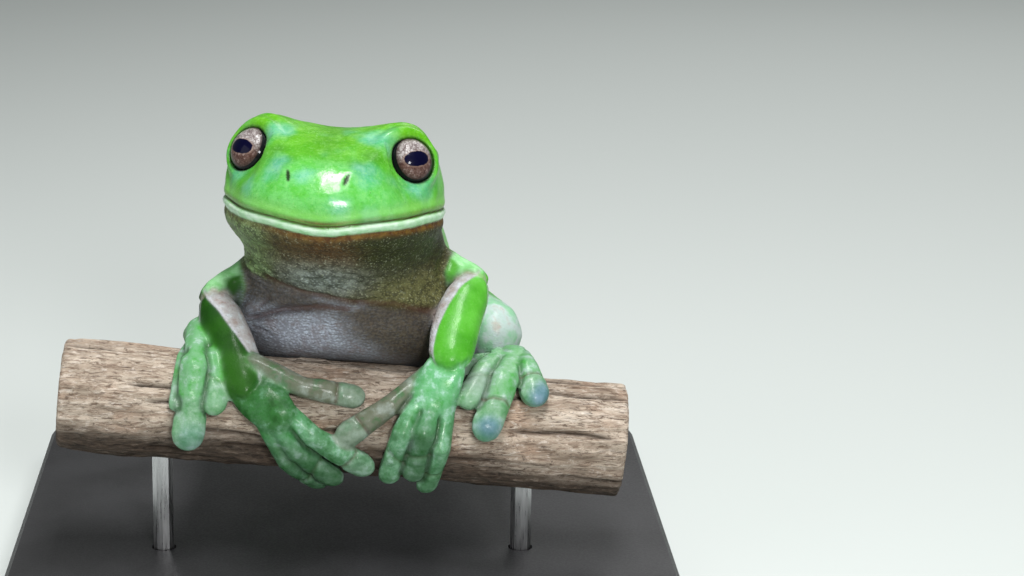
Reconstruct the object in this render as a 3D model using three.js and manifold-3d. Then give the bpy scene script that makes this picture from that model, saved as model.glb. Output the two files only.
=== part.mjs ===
// A green tree frog, life size, gripping a cut length of branch on a plain display stand.
//
// Millimetres, +Z up. The origin is the centre of the stand's underside, and the frog faces -Y.
// The frog is laid out in the branch's own frame: its origin is on the branch's axis under the
// frog's chest, X runs to the frog's left and Y runs back. "_l" and "_r" are the frog's own
// left and right. Every width and depth below is a half, measured out from the middle.
import * as THREE from "three";
import { mergeVertices } from "three/addons/utils/BufferGeometryUtils.js";
import Module from "manifold-3d";

const wasm = await Module();
wasm.setup();

// ---------------------------------------------------------------- driving dimensions

const GAP = 0.3; // clearance between neighbouring pieces
const FINE = 0.03; // the largest change from dropping the smallest facets of a cut piece

const PERCH = { radius: 8.5, length: 84, slope: 5 }; // slope in degrees, lower at the frog's left
const ROD = { radius: 1.6, height: 12, spread: 27, seat: 3 }; // height is what shows of it
const BASE = { width: 100, depth: 92, thickness: 5, corner: 8, chamfer: 0.8 };
const PERCH_FORWARD = 19; // the branch's axis, in front of the middle of the base
const PERCH_HEIGHT = BASE.thickness + ROD.height + PERCH.radius;

// The head's frame has its origin midway between the eyeballs, and turns in degrees.
const HEAD = { at: [-1.45, 2, 39.1], yaw: -9, pitch: -4, roll: 2.2 };
const TRUNK = { at: [0, 0, 0], yaw: -8, pitch: 0, roll: 0 };
const EYE = { radius: 4.1, side: 11.0, outward: 38, upward: 18, opening: 53 };
const MOUTH = { height: -7.2, rise: 0.9, corner: 6.5 };

const SKIN_GREEN = { color: 0x52b52c, roughness: 0.35, metalness: 0 };
const SKIN_PALE = { color: 0xb4cdb0, roughness: 0.45, metalness: 0 };
const EYE_COPPER = { color: 0x7a5a4c, roughness: 0.08, metalness: 0 };
const BARK = { color: 0xa07a5c, roughness: 0.9, metalness: 0 };
const STAND_PAINT = { color: 0x2b2b2d, roughness: 0.45, metalness: 0 };
const STAND_STEEL = { color: 0xb9bbbd, roughness: 0.3, metalness: 1 };

const rad = THREE.MathUtils.degToRad;
const vec = (x = 0, y = 0, z = 0) => new THREE.Vector3(x, y, z);
const SIDES = { l: 1, r: -1 };

// ---------------------------------------------------------------- solids

// A closed geometry as a manifold-3d solid.
function solid(geometry) {
  const bare = geometry.clone();
  bare.deleteAttribute("normal");
  bare.deleteAttribute("uv");
  const merged = mergeVertices(bare, 1e-4);
  const vertProperties = new Float32Array(merged.attributes.position.array);
  const triVerts = new Uint32Array(merged.index.array);
  return new wasm.Manifold(new wasm.Mesh({ numProp: 3, vertProperties, triVerts }));
}

// The largest body of a solid, so that a cut leaves no crumbs.
function largest(made) {
  return made.decompose().reduce((a, b) => (b.volume() > a.volume() ? b : a));
}

function geometryOf(made) {
  const mesh = made.getMesh();
  const geometry = new THREE.BufferGeometry();
  geometry.setAttribute("position", new THREE.BufferAttribute(mesh.vertProperties, 3));
  geometry.setIndex(new THREE.BufferAttribute(mesh.triVerts, 1));
  geometry.computeVertexNormals();
  return geometry;
}

// ---------------------------------------------------------------- frames

function placed({ at, yaw, pitch, roll }) {
  const turn = new THREE.Euler(rad(pitch), rad(roll), rad(yaw), "ZXY");
  return new THREE.Matrix4().makeRotationFromEuler(turn).setPosition(...at);
}

const headPlace = placed(HEAD);
const trunkPlace = placed(TRUNK);
const inHead = (x, y, z) => vec(x, y, z).applyMatrix4(headPlace);
const inTrunk = (x, y, z) => vec(x, y, z).applyMatrix4(trunkPlace);

const perchAxisHeight = (x) => -x * Math.tan(rad(PERCH.slope));

// A point on the branch: x along it, the angle from its top round to the front, lift off the bark.
function onPerch([x, angle, lift]) {
  const out = PERCH.radius + lift;
  return vec(x, -out * Math.sin(rad(angle)), perchAxisHeight(x) + out * Math.cos(rad(angle)));
}

const awayFromPerch = (p) => vec(0, p.y, p.z - perchAxisHeight(p.x)).normalize();
const upward = () => vec(0, 0, 1);

// ---------------------------------------------------------------- blended forms

// The body is ellipsoids melted together: a centre, three radii and how softly each one joins.
const LOBES = {
  head: [
    { name: "cranium", at: [0, 3, -2.4], radii: [13.2, 13.5, 6.5], soft: 3 },
    { name: "snout", at: [0, -4.6, -4.2], radii: [12.2, 10.8, 5.6], soft: 4 },
    { name: "jaws", at: [0.3, -0.4, -8.6], radii: [15.9, 14.8, 5.0], soft: 4 },
    { name: "cheek", at: [10.2, 4.6, -6.0], radii: [6.2, 8.4, 6.6], soft: 4, paired: true },
    { name: "brow", at: [9.2, 1.6, 0.9], radii: [5.9, 7.0, 5.2], soft: 4, paired: true },
    { name: "lid", at: [EYE.side, 0, 0], radii: [4.6, 4.6, 4.8], soft: 2, paired: true },
    { name: "throat", at: [0.6, 4.2, -13.4], radii: [13.8, 12.4, 7.6], soft: 4 },
  ],
  trunk: [
    { name: "chest", at: [0.4, 7.4, 15.6], radii: [14.0, 12.0, 8.2], soft: 3 },
    { name: "breast", at: [8.4, 7.8, 12.6], radii: [6.4, 9.4, 5.8], soft: 3, paired: true },
    { name: "armpit fold", at: [-13.2, 5.2, 14.6], radii: [3.6, 5.0, 5.8], soft: 3 },
    { name: "shoulder", at: [9.4, 13, 18.6], radii: [6.2, 8.6, 7.4], soft: 4, paired: true },
    { name: "nape", at: [0, 17, 26.0], radii: [12.0, 11.0, 10.0], soft: 5 },
    { name: "belly", at: [-0.6, 20, 9.6], radii: [18.0, 15.0, 10.6], soft: 5 },
    { name: "back", at: [0, 27, 18.8], radii: [12.4, 17.0, 11.2], soft: 6 },
    { name: "loin", at: [0, 40, 13.4], radii: [10.0, 13.0, 9.6], soft: 6 },
    { name: "pelvis", at: [0, 50, 7.2], radii: [8.6, 10.2, 7.0], soft: 5 },
  ],
};

const melted = Object.entries(LOBES).flatMap(([region, lobes]) =>
  lobes.flatMap(({ at: [x, y, z], radii, soft, paired }) => {
    const inverse = (region === "head" ? headPlace : trunkPlace).clone().invert();
    const one = (side) => ({ inverse, at: vec(side * x, y, z), radii: vec(...radii), soft });
    return paired ? [one(1), one(-1)] : [one(1)];
  }),
);

function ellipsoidDistance(p, radii) {
  const k0 = Math.hypot(p.x / radii.x, p.y / radii.y, p.z / radii.z);
  const k1 = Math.hypot(p.x / radii.x ** 2, p.y / radii.y ** 2, p.z / radii.z ** 2);
  return k1 > 1e-9 ? (k0 * (k0 - 1)) / k1 : -Math.min(radii.x, radii.y, radii.z);
}

// How far a point is outside the whole body, less than nothing when it is inside.
function bodyDistance(p) {
  let nearest = Infinity;
  for (const { inverse, at, radii, soft } of melted) {
    const distance = ellipsoidDistance(p.clone().applyMatrix4(inverse).sub(at), radii);
    const mix = Math.max(soft - Math.abs(nearest - distance), 0) / soft;
    nearest = Math.min(nearest, distance) - (mix * mix * soft) / 4;
  }
  return nearest;
}

// The last point along a ray that is inside the body, found by steps and then by halving.
function surfaceAlong(from, way, keep, grow) {
  const inside = (t) => {
    const p = from.clone().addScaledVector(way, t);
    return bodyDistance(p) < grow && keep(p);
  };
  const step = 0.8;
  let high = 32;
  while (high > step && !inside(high - step)) high -= step;
  let low = Math.max(high - step, 0);
  for (let i = 0; i < 14; i++) {
    const middle = (low + high) / 2;
    if (inside(middle)) low = middle;
    else high = middle;
  }
  return low;
}

// The body's surface round the line a-b, drawn out to it along the rays of a geodesic sphere.
function bodyRound(a, b, detail, keep, grow) {
  const ball = new THREE.IcosahedronGeometry(1, detail);
  ball.deleteAttribute("normal");
  ball.deleteAttribute("uv");
  const geometry = mergeVertices(ball, 1e-4);
  const position = geometry.attributes.position;
  const along = b.clone().sub(a).normalize();
  for (let i = 0; i < position.count; i++) {
    const way = vec().fromBufferAttribute(position, i).normalize();
    const from = a.clone().lerp(b, (way.dot(along) + 1) / 2);
    from.addScaledVector(way, surfaceAlong(from, way, keep, grow));
    position.setXYZ(i, from.x, from.y, from.z);
  }
  return solid(geometry);
}

// ---------------------------------------------------------------- dividing the body

// A flat cut through the body: normal points to the side called front.
const CUTS = {
  neck: { at: vec(0, -3.2, 19.4), normal: vec(0, -0.66, 0.75).normalize() },
  waist: { at: vec(0, 36, 14), normal: vec(0, -0.9, 0.35).normalize() },
};

// All of space on one side of a cut (1 is its front, -1 its back), as a large box.
function half({ at, normal }, side, clearance) {
  const reach = 160;
  const box = new THREE.BoxGeometry(reach, reach, reach);
  box.applyQuaternion(new THREE.Quaternion().setFromUnitVectors(vec(0, 0, 1), normal));
  const middle = at.clone().addScaledVector(normal, side * (reach / 2 + clearance));
  box.translate(...middle);
  return solid(box);
}

const beyond = ({ at, normal }, p) => p.clone().sub(at).dot(normal);
const OVERRUN = 5; // how far a form is drawn past the cut that trims it

function wholeHead(grow) {
  const keep = (p) => beyond(CUTS.neck, p) > -OVERRUN;
  const form = bodyRound(inHead(0, -5, -6), inHead(0, 5, -7), 5, keep, grow);
  return form.intersect(half(CUTS.neck, 1, GAP / 2 - grow));
}

function wholeTrunk(grow) {
  const keep = (p) => beyond(CUTS.neck, p) < OVERRUN;
  const form = bodyRound(inTrunk(0, 12, 15), inTrunk(0, 46, 10), 4, keep, grow);
  return form.intersect(half(CUTS.neck, -1, GAP / 2 - grow));
}

// What lies under a line drawn in the head's side view, as a slab right across the head.
function under(drawLine, lift) {
  const outline = new THREE.Shape();
  drawLine(outline, lift);
  outline.lineTo(40, -60);
  outline.lineTo(-40, -60);
  outline.closePath();
  const slab = new THREE.ExtrudeGeometry(outline, { depth: 80, bevelEnabled: false, curveSegments: 4 });
  slab.translate(0, 0, -40);
  // The outline's x is the head's y, and its y is the head's z.
  slab.applyMatrix4(new THREE.Matrix4().makeBasis(vec(0, 1, 0), vec(0, 0, 1), vec(1, 0, 0)));
  return solid(slab.applyMatrix4(headPlace));
}

// The mouth rises a little to its corners, and the cut then drops behind the jaw's hinge.
function mouthLine(outline, lift) {
  const { height, rise, corner } = MOUTH;
  outline.moveTo(-40, height + lift);
  outline.lineTo(-12, height + lift);
  outline.quadraticCurveTo(-2, height + lift, corner + lift, height + rise + lift);
  outline.lineTo(corner + 3 + lift, height - 7);
}

function jawLine(outline, lift) {
  outline.moveTo(-40, MOUTH.height - 4.2 + lift);
  outline.lineTo(-16, MOUTH.height - 4.2 + lift);
  outline.quadraticCurveTo(0, MOUTH.height - 4.6 + lift, 12, MOUTH.height - 5 + lift);
}

// ---------------------------------------------------------------- eyes

const eyeCentre = (side) => inHead(side * EYE.side, 0, 0);

// The way an eye looks, as a direction in the branch's frame.
function gaze(side) {
  const level = Math.cos(rad(EYE.upward));
  const [x, y] = [Math.sin(rad(EYE.outward)) * level, -Math.cos(rad(EYE.outward)) * level];
  return vec(side * x, y, Math.sin(rad(EYE.upward))).transformDirection(headPlace);
}

function eyeball(side, grow) {
  const ball = new THREE.SphereGeometry(EYE.radius + grow, 11, 8);
  return solid(ball.translate(...eyeCentre(side)));
}

// The lids open in a cone from the eyeball's middle.
function lidOpening(side) {
  const length = 12;
  const wide = length * Math.tan(rad(EYE.opening));
  const cone = new THREE.CylinderGeometry(wide, 0.01, length, 14);
  cone.translate(0, length / 2, 0);
  cone.applyQuaternion(new THREE.Quaternion().setFromUnitVectors(vec(0, 1, 0), gaze(side)));
  return solid(cone.translate(...eyeCentre(side)));
}

// ---------------------------------------------------------------- limbs

// Half-width and half-depth at t, eased between stations [t, width, depth].
function sizeAt(stations, t) {
  let i = 0;
  while (i < stations.length - 2 && t > stations[i + 1][0]) i++;
  const [t0, width0, depth0] = stations[i];
  const [t1, width1, depth1] = stations[i + 1];
  const share = THREE.MathUtils.smoothstep(t, t0, t1);
  return [width0 + (width1 - width0) * share, depth0 + (depth1 - depth0) * share];
}

// Rings of points joined into a closed skin between two end points.
function skinOver(start, rings, finish) {
  const vertices = [start, ...rings.flat(), finish];
  const around = rings[0].length;
  const last = vertices.length - 1;
  const indices = [];
  for (let j = 0; j < around; j++) {
    const next = (j + 1) % around;
    indices.push(0, 1 + next, 1 + j, last, last - around + j, last - around + next);
    for (let row = 1; row < rings.length; row++) {
      const [a, b] = [1 + (row - 1) * around + j, 1 + (row - 1) * around + next];
      indices.push(a, b, a + around, b, b + around, a + around);
    }
  }
  const geometry = new THREE.BufferGeometry().setFromPoints(vertices);
  return solid(geometry.setIndex(indices));
}

// A point past the end of a route, straight on from the one inside it.
function past(end, inner, distance) {
  return end.clone().addScaledVector(end.clone().sub(inner).normalize(), distance);
}

// How far along a limb its rings are: close together round each end, and even between.
function ringPlaces(length, startWidth, endWidth, spans) {
  const nearEnd = [0.1, 0.45, 1];
  const middle = length - startWidth - endWidth;
  return [
    ...nearEnd.map((share) => share * startWidth),
    ...Array.from({ length: spans - 1 }, (_, i) => startWidth + (middle * (i + 1)) / spans),
    ...nearEnd.map((share) => length - share * endWidth).reverse(),
  ];
}

// A limb of oval sections through the points, rounded past both ends and larger by grow all over.
// up gives the way a section's depth faces at a point.
function loft(points, { stations, around, spans }, up, grow) {
  const [startWidth, endWidth] = [stations[0][1], stations.at(-1)[1]];
  const start = past(points[0], points[1], startWidth);
  const finish = past(points.at(-1), points.at(-2), endWidth);
  const curve = new THREE.CatmullRomCurve3([start, ...points, finish], false, "centripetal");
  const length = curve.getLength();
  const rings = ringPlaces(length, startWidth, endWidth, spans).map((place) => {
    const at = place / length;
    const centre = curve.getPointAt(at);
    const tangent = curve.getTangentAt(at);
    const depthWay = up(centre).projectOnPlane(tangent).normalize();
    const widthWay = depthWay.clone().cross(tangent);
    const [width, depth] = sizeAt(stations, at);
    const toEnd = Math.min(place / startWidth, (length - place) / endWidth, 1);
    const rounding = Math.sqrt(1 - (1 - toEnd) ** 2);
    return Array.from({ length: around }, (_, j) => {
      const turn = (2 * Math.PI * j) / around;
      const edge = centre.clone();
      edge.addScaledVector(widthWay, (width * rounding + grow) * Math.cos(turn));
      return edge.addScaledVector(depthWay, (depth * rounding + grow) * Math.sin(turn));
    });
  });
  return skinOver(past(start, points[0], grow), rings, past(finish, points.at(-1), grow));
}

// Stations along each part of a limb, then how many sides and rings it is drawn with.
const LIMBS = {
  upper_arm: { stations: [[0, 3.4, 3.5], [0.5, 2.3, 2.5], [1, 2.2, 2.2]], around: 9, spans: 3 },
  forearm: {
    stations: [[0, 2.3, 2.4], [0.4, 3.6, 2.9], [0.75, 3.7, 2.6], [1, 2.8, 2.1]],
    around: 9,
    spans: 4,
  },
  hand: { stations: [[0, 3.0, 2.1], [0.5, 3.6, 1.9], [1, 3.4, 1.6]], around: 8, spans: 3 },
  thigh: { stations: [[0, 5.6, 6.4], [0.4, 5.8, 6.4], [0.85, 4.7, 5.1], [1, 4.6, 5.1]], around: 8, spans: 4 },
  shank: { stations: [[0, 4.0, 4.3], [0.35, 4.0, 4.6], [0.8, 2.8, 3.2], [1, 2.8, 2.9]], around: 8, spans: 4 },
  tarsus: { stations: [[0, 2.8, 2.6], [0.5, 2.4, 2.1], [1, 2.7, 1.9]], around: 8, spans: 3 },
  foot: { stations: [[0, 2.6, 1.9], [0.6, 3.0, 1.8], [1, 3.8, 1.5]], around: 8, spans: 3 },
};

const limb = (kind, points, up) => (grow) => loft(points, LIMBS[kind], up, grow);

// A finger or toe lying on the branch, with a slight waist behind a flat round disc at its tip.
// It is [route, half-width, half-width of the disc, half-width at the root with its webbing].
// Its route is [x, angle] along the bark, and a third number raises it off the bark.
const digit = ([route, thick, disc, web = thick * 1.1]) => (grow) => {
  const flat = disc * 0.6;
  const rest = (i) => (i === route.length - 1 ? flat : thick) + GAP;
  const points = route.map(([x, angle, raised = 0], i) => onPerch([x, angle, rest(i) + raised]));
  const length = new THREE.CatmullRomCurve3(points, false, "centripetal").getLength() + thick + disc;
  const fromTip = (distance) => 1 - distance / length;
  const stations = [
    [0, web, thick],
    [fromTip(disc * 3.2) * 0.7, (web + thick) / 2, thick],
    [fromTip(disc * 2.6), thick * 0.9, thick * 0.85],
    [fromTip(disc * 1.5), disc, flat],
    [1, disc, flat],
  ];
  return loft(points, { stations, around: 7, spans: 2 }, awayFromPerch, grow);
};

// Joints are points, and what lies on the branch is [x, angle, lift].
const ARMS = {
  l: {
    shoulder: [11.5, 10.5, 19.4],
    upper: [15.8, 8.2, 20.3],
    elbow: [19.9, 4.6, 20.0],
    lower: [17.3, -0.6, 16.0],
    wrist: [15.8, -6.4, 11.4],
    palm: [13.0, 54, 2.0],
    digits: [
      [[[12.8, 28, 0.6], [10.2, 44, 0.2], [5.4, 66], [1.0, 85]], 1.45, 2.1],
      [[[12.0, 42, 0.4], [10.0, 66, 0.4], [8.0, 94], [7.0, 123]], 1.6, 1.8],
      [[[13.6, 44, 0.4], [12.6, 68, 0.4], [11.3, 92, 0.2], [10.6, 117]], 1.8, 1.9],
      [[[15.2, 48, 0.3], [14.8, 74, 0.3], [13.8, 104], [12.5, 136]], 1.5, 1.7],
    ],
  },
  r: {
    shoulder: [-11.2, 12, 18.6],
    upper: [-15.4, 8.0, 19.0],
    elbow: [-19.4, 3.6, 17.6],
    lower: [-16.7, -1.7, 12.7],
    wrist: [-14.3, -7.8, 7.1],
    palm: [-9.8, 72, 2.1],
    digits: [
      [[[-12.8, 34, 0.8], [-9.0, 44, 0.2], [-2.5, 53], [1.6, 53]], 1.45, 1.9],
      [[[-10.6, 62, 0.5], [-6.8, 80, 0.4], [-1.8, 98], [2.8, 114]], 1.5, 2.1],
      [[[-10.8, 70, 0.4], [-7.8, 96, 0.2], [-4.6, 117], [-1.6, 134]], 1.6, 2.0],
      [[[-11.4, 78, 0.2], [-9.2, 104], [-6.5, 129], [-3.8, 152]], 1.45, 1.8],
    ],
  },
};

const LEGS = {
  l: {
    hip: [6.4, 50, 8.4],
    thigh: [12.6, 33, 9.4],
    knee: [23.2, 13.2, 9.4],
    calf: [24.4, 33, 4.0],
    heel: [20.0, 51.5, 1.4],
    ankle: [24.6, 31, -2.2],
    instep: [25.4, 13.6, 2.0],
    sole: [24.2, -18, 1.8],
    digits: [
      [[[22.2, -20, 0.2], [20.0, -14], [18.0, -8]], 1.35, 1.6],
      [[[22.6, -14, 0.3], [19.6, 0], [17.0, 14]], 1.45, 1.8, 1.9],
      [[[23.4, -14, 0.4], [21.2, 18, 0.2], [18.8, 45]], 1.7, 2.2, 2.6],
      [[[25.2, -14, 0.5], [24.3, 18, 0.4], [22.6, 46, 0.2], [21.1, 69]], 1.8, 2.4, 3.4],
      [[[26.6, -16, 0.4], [27.2, 6, 0.3], [27.8, 22], [28.3, 36]], 1.8, 2.3, 2.5],
    ],
  },
  r: {
    hip: [-6.4, 50, 8.4],
    thigh: [-13.0, 33, 9.8],
    knee: [-16.2, 16.4, 11.0],
    calf: [-18.4, 37, 5.0],
    heel: [-10.6, 55, 1.8],
    ankle: [-16.6, 36, -1.4],
    instep: [-19.8, 15.0, 3.6],
    sole: [-20.6, -16, 2.2],
    digits: [
      [[[-19.2, -12, 0.3], [-17.4, -4], [-16.2, 7]], 1.35, 1.6],
      [[[-19.6, -10, 0.4], [-18.2, 12], [-16.6, 38]], 1.45, 1.9],
      [[[-20.0, -8, 0.5], [-19.4, 26, 0.2], [-18.7, 68]], 1.55, 2.1, 2.0],
      [[[-20.8, -8, 0.8], [-21.3, 28, 0.6], [-22.1, 68, 0.2], [-22.5, 96]], 2.0, 2.6, 2.5],
      [[[-21.6, -10, 0.5], [-22.6, 20, 0.2], [-23.3, 46], [-23.9, 72]], 1.4, 1.6],
    ],
  },
};

// ---------------------------------------------------------------- branch and stand

// The branch's radius is a little uneven round it and along it.
function perchRadius(x, angle) {
  const along = Math.sin(x * 0.11 + 0.6) * 0.14 + Math.sin(x * 0.29) * 0.06;
  const round = Math.cos(2 * angle + x * 0.03) * 0.12 + Math.cos(5 * angle - x * 0.05) * 0.08;
  return PERCH.radius - 0.1 + along + round;
}

function perch(grow) {
  const shape = new THREE.CylinderGeometry(1, 1, PERCH.length + 2 * grow, 15, 5);
  shape.rotateZ(Math.PI / 2);
  const position = shape.attributes.position;
  for (let i = 0; i < position.count; i++) {
    const p = vec().fromBufferAttribute(position, i);
    const out = perchRadius(p.x, Math.atan2(p.y, p.z)) + grow;
    position.setXYZ(i, p.x, p.y * out, p.z * out);
  }
  return solid(shape.rotateY(rad(PERCH.slope)));
}

const BASE_TOP = BASE.thickness - PERCH_HEIGHT;

function rod(side, grow) {
  const x = side * ROD.spread;
  const low = BASE_TOP - ROD.seat - grow;
  const high = perchAxisHeight(x) - PERCH.radius + ROD.seat + grow;
  const post = new THREE.CylinderGeometry(ROD.radius + grow, ROD.radius + grow, high - low, 10);
  post.rotateX(Math.PI / 2);
  return solid(post.translate(x, 0, (high + low) / 2));
}

// A rounded rectangle about the origin.
function roundedPlan(width, depth, corner) {
  const outline = new THREE.Shape();
  const [x, y] = [width / 2 - corner, depth / 2 - corner];
  outline.absarc(x, -y, corner, -Math.PI / 2, 0);
  outline.absarc(x, y, corner, 0, Math.PI / 2);
  outline.absarc(-x, y, corner, Math.PI / 2, Math.PI);
  outline.absarc(-x, -y, corner, Math.PI, Math.PI * 1.5);
  outline.closePath();
  return outline;
}

function standBase() {
  const { width, depth, thickness, corner, chamfer } = BASE;
  const outline = roundedPlan(width - 2 * chamfer, depth - 2 * chamfer, corner - chamfer);
  const plate = new THREE.ExtrudeGeometry(outline, {
    depth: thickness - 2 * chamfer,
    bevelThickness: chamfer,
    bevelSize: chamfer,
    bevelSegments: 1,
    curveSegments: 3,
  });
  return solid(plate.translate(0, PERCH_FORWARD, chamfer - PERCH_HEIGHT));
}

// ---------------------------------------------------------------- putting it together

// Each piece is cut back from the pieces before it, so the first ones keep their whole shape.
const model = new THREE.Group();
const branchFrame = new THREE.Group();
branchFrame.position.set(0, -PERCH_FORWARD, PERCH_HEIGHT);
model.add(branchFrame);
const before = [];

function add(name, look, make) {
  let made = make(0);
  for (const other of before) made = made.subtract(other);
  const piece = largest(made.simplify(FINE));
  const mesh = new THREE.Mesh(geometryOf(piece), new THREE.MeshStandardMaterial(look));
  mesh.name = name;
  branchFrame.add(mesh);
  before.push(make(GAP));
}

for (const side of ["l", "r"]) add(`stand_rod_${side}`, STAND_STEEL, (grow) => rod(SIDES[side], grow));
add("stand_base", STAND_PAINT, standBase);
add("perch", BARK, perch);

for (const side of ["l", "r"]) add(`eye_${side}`, EYE_COPPER, (grow) => eyeball(SIDES[side], grow));

const headForm = { plain: wholeHead(0), grown: wholeHead(GAP) };
const headAt = (grow) => (grow ? headForm.grown : headForm.plain);
const openings = lidOpening(1).add(lidOpening(-1));
add("head", SKIN_GREEN, (grow) => headAt(grow).subtract(under(mouthLine, GAP - grow)).subtract(openings));
add("lower_jaw", SKIN_PALE, (grow) =>
  headAt(grow).intersect(under(mouthLine, grow)).subtract(under(jawLine, -grow)),
);
add("throat", SKIN_PALE, (grow) => headAt(grow).intersect(under(jawLine, grow)));

const trunkForm = { plain: wholeTrunk(0), grown: wholeTrunk(GAP) };
const trunkAt = (grow) => (grow ? trunkForm.grown : trunkForm.plain);
add("trunk", SKIN_GREEN, (grow) => trunkAt(grow).intersect(half(CUTS.waist, 1, -grow)));
add("pelvis", SKIN_GREEN, (grow) => trunkAt(grow).intersect(half(CUTS.waist, -1, -grow)));

const point = (p) => vec(...p);

for (const side of ["l", "r"]) {
  const { shoulder, upper, elbow, lower, wrist, palm, digits } = ARMS[side];
  const overBranch = () => vec(0, -0.75, 0.66);
  add(`upper_arm_${side}`, SKIN_GREEN, limb("upper_arm", [shoulder, upper, elbow].map(point), upward));
  add(`forearm_${side}`, SKIN_GREEN, limb("forearm", [elbow, lower, wrist].map(point), overBranch));
  add(`hand_${side}`, SKIN_PALE, limb("hand", [point(wrist), onPerch(palm)], awayFromPerch));
  for (const [i, shape] of digits.entries()) add(`finger_${side}_${i + 1}`, SKIN_PALE, digit(shape));
}

for (const side of ["l", "r"]) {
  const { hip, thigh, knee, calf, heel, ankle, instep, sole, digits } = LEGS[side];
  const haunch = [inTrunk(...hip), inTrunk(...thigh), point(knee)];
  add(`thigh_${side}`, SKIN_GREEN, limb("thigh", haunch, upward));
  add(`shank_${side}`, SKIN_GREEN, limb("shank", [knee, calf, heel].map(point), upward));
  add(`tarsus_${side}`, SKIN_GREEN, limb("tarsus", [point(heel), point(ankle)], upward));
  add(`foot_${side}`, SKIN_PALE, limb("foot", [point(ankle), point(instep), onPerch(sole)], upward));
  for (const [i, shape] of digits.entries()) add(`toe_${side}_${i + 1}`, SKIN_PALE, digit(shape));
}

export default model;
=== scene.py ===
"""A green tree frog on a cut branch: one skin, glossy eyes, weathered wood and a plain stand."""

import math
from functools import cache, reduce
from types import SimpleNamespace

import bpy
import numpy as np
import openvdb as vdb
from mathutils import Matrix, Vector


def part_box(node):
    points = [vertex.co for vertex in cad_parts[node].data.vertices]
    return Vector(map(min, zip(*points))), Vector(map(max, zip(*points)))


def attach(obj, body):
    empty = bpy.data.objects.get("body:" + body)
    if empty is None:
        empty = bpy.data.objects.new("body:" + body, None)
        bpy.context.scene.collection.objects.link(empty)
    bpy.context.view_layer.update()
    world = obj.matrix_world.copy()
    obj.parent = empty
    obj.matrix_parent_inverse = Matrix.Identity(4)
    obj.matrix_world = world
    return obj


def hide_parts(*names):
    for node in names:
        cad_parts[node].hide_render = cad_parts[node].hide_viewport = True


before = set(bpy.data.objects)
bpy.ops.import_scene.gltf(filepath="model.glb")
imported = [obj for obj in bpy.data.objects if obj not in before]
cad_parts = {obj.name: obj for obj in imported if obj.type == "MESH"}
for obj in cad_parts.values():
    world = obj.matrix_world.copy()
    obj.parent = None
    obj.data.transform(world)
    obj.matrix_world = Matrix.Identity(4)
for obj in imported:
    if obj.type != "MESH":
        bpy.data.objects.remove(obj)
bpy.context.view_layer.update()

# ---- sizes, in millimetres

MM = 0.001
VOXEL = 0.24  # between samples of the skin's distance field
REACH = 12  # samples on each side of a surface that still know how far off it is
BLUR = {"body": 1.25, "folds": 0.6, "limb": 0.6, "digits": 0.26, "skin": 0.22}  # how much each is smoothed
LIFT = 0.12  # how far the skin stands off the blurred solids, to make up for the blur
PRESS = 0.5  # how far a digit's underside is drawn out towards the bark

MOUTH = {"height": -7.5, "rise": 0.9}  # of its line, in the head's frame
NOSTRIL = {"aside": 4.2, "height": -0.9, "lean": 0.25}
LIDS = {"outward": 34, "upward": 28, "wide": 56, "tall": 58, "thickness": 0.36}
IRIS = {"outward": 33, "upward": 22.5, "half_width": 3.12, "half_height": 3.62, "raised": 0.4}
PUPIL = {"half_width": 2.0, "half_height": 1.12}
# The green panel on the front of a forearm: the way it faces, and its borders in degrees round the arm.
PANELS = {
    "l": {"faces": (0.15, -0.97, 0.2), "inner": (56, 76), "outer": 64},
    "r": {"faces": (-0.30, -0.95, 0.05), "inner": (40, 80), "outer": 46},
}
CREASE_BACK = 4.4  # from a digit's tip to the crease behind its disc
# The digits whose crease behind the disc gets its painted shade at full strength.
CREASED = ["finger_l_1", "finger_r_1", "finger_r_2", "toe_l_4", "toe_l_5", "toe_r_4"]  # where it is dark
BLUE_TIPS = {"toe_l_4": 1.0, "toe_l_5": 1.0, "toe_r_4": 0.35}
PERCH_SLOPE = math.radians(5)
HEAD_PITCH = math.radians(-4)
TRUNK_YAW = math.radians(-8)

SIDES = {"l": 1, "r": -1}
HEAD_NODES = ["head", "lower_jaw", "throat"]
TRUNK_NODES = ["trunk", "pelvis"]
ARM_NODES = ["upper_arm", "forearm", "hand"]
LEG_NODES = ["thigh", "shank", "tarsus", "foot"]
FINGERS = {side: [f"finger_{side}_{i}" for i in range(1, 5)] for side in SIDES}
TOES = {side: [f"toe_{side}_{i}" for i in range(1, 6)] for side in SIDES}
DIGITS = sum((FINGERS[side] + TOES[side] for side in SIDES), [])


def on(side, names):
    return [f"{name}_{side}" for name in names]


FLESH_NODES = HEAD_NODES + TRUNK_NODES
for side in SIDES:
    FLESH_NODES += on(side, ARM_NODES + LEG_NODES) + FINGERS[side] + TOES[side]


def middle(node):
    low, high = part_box(node)
    return np.array((low + high) / 2) / MM


# ---- frames of the head and trunk

EYES = {side: middle(f"eye_{side}") for side in SIDES}
EYE_RADIUS = (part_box("eye_l")[1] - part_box("eye_l")[0]).z / 2 / MM
HEAD_AT = (EYES["l"] + EYES["r"]) / 2
PERCH_AT = middle("perch")
ALONG_PERCH = np.array([math.cos(PERCH_SLOPE), 0, -math.sin(PERCH_SLOPE)])


def unit(v):
    return np.asarray(v, float) / np.linalg.norm(v)


def far_off(points, place):
    return np.linalg.norm(points - place, axis=1)


def head_axes():
    """The head's left, back and up, as the rows of a matrix."""
    left = unit(EYES["l"] - EYES["r"])
    yaw = math.atan2(left[1], left[0])
    level = math.cos(HEAD_PITCH)
    back = np.array([-math.sin(yaw) * level, math.cos(yaw) * level, math.sin(HEAD_PITCH)])
    up = unit(np.cross(left, back))
    return np.array([left, np.cross(up, left), up])


HEAD_AXES = head_axes()
TRUNK_AXES = np.array(Matrix.Rotation(-TRUNK_YAW, 3, "Z"))


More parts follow.
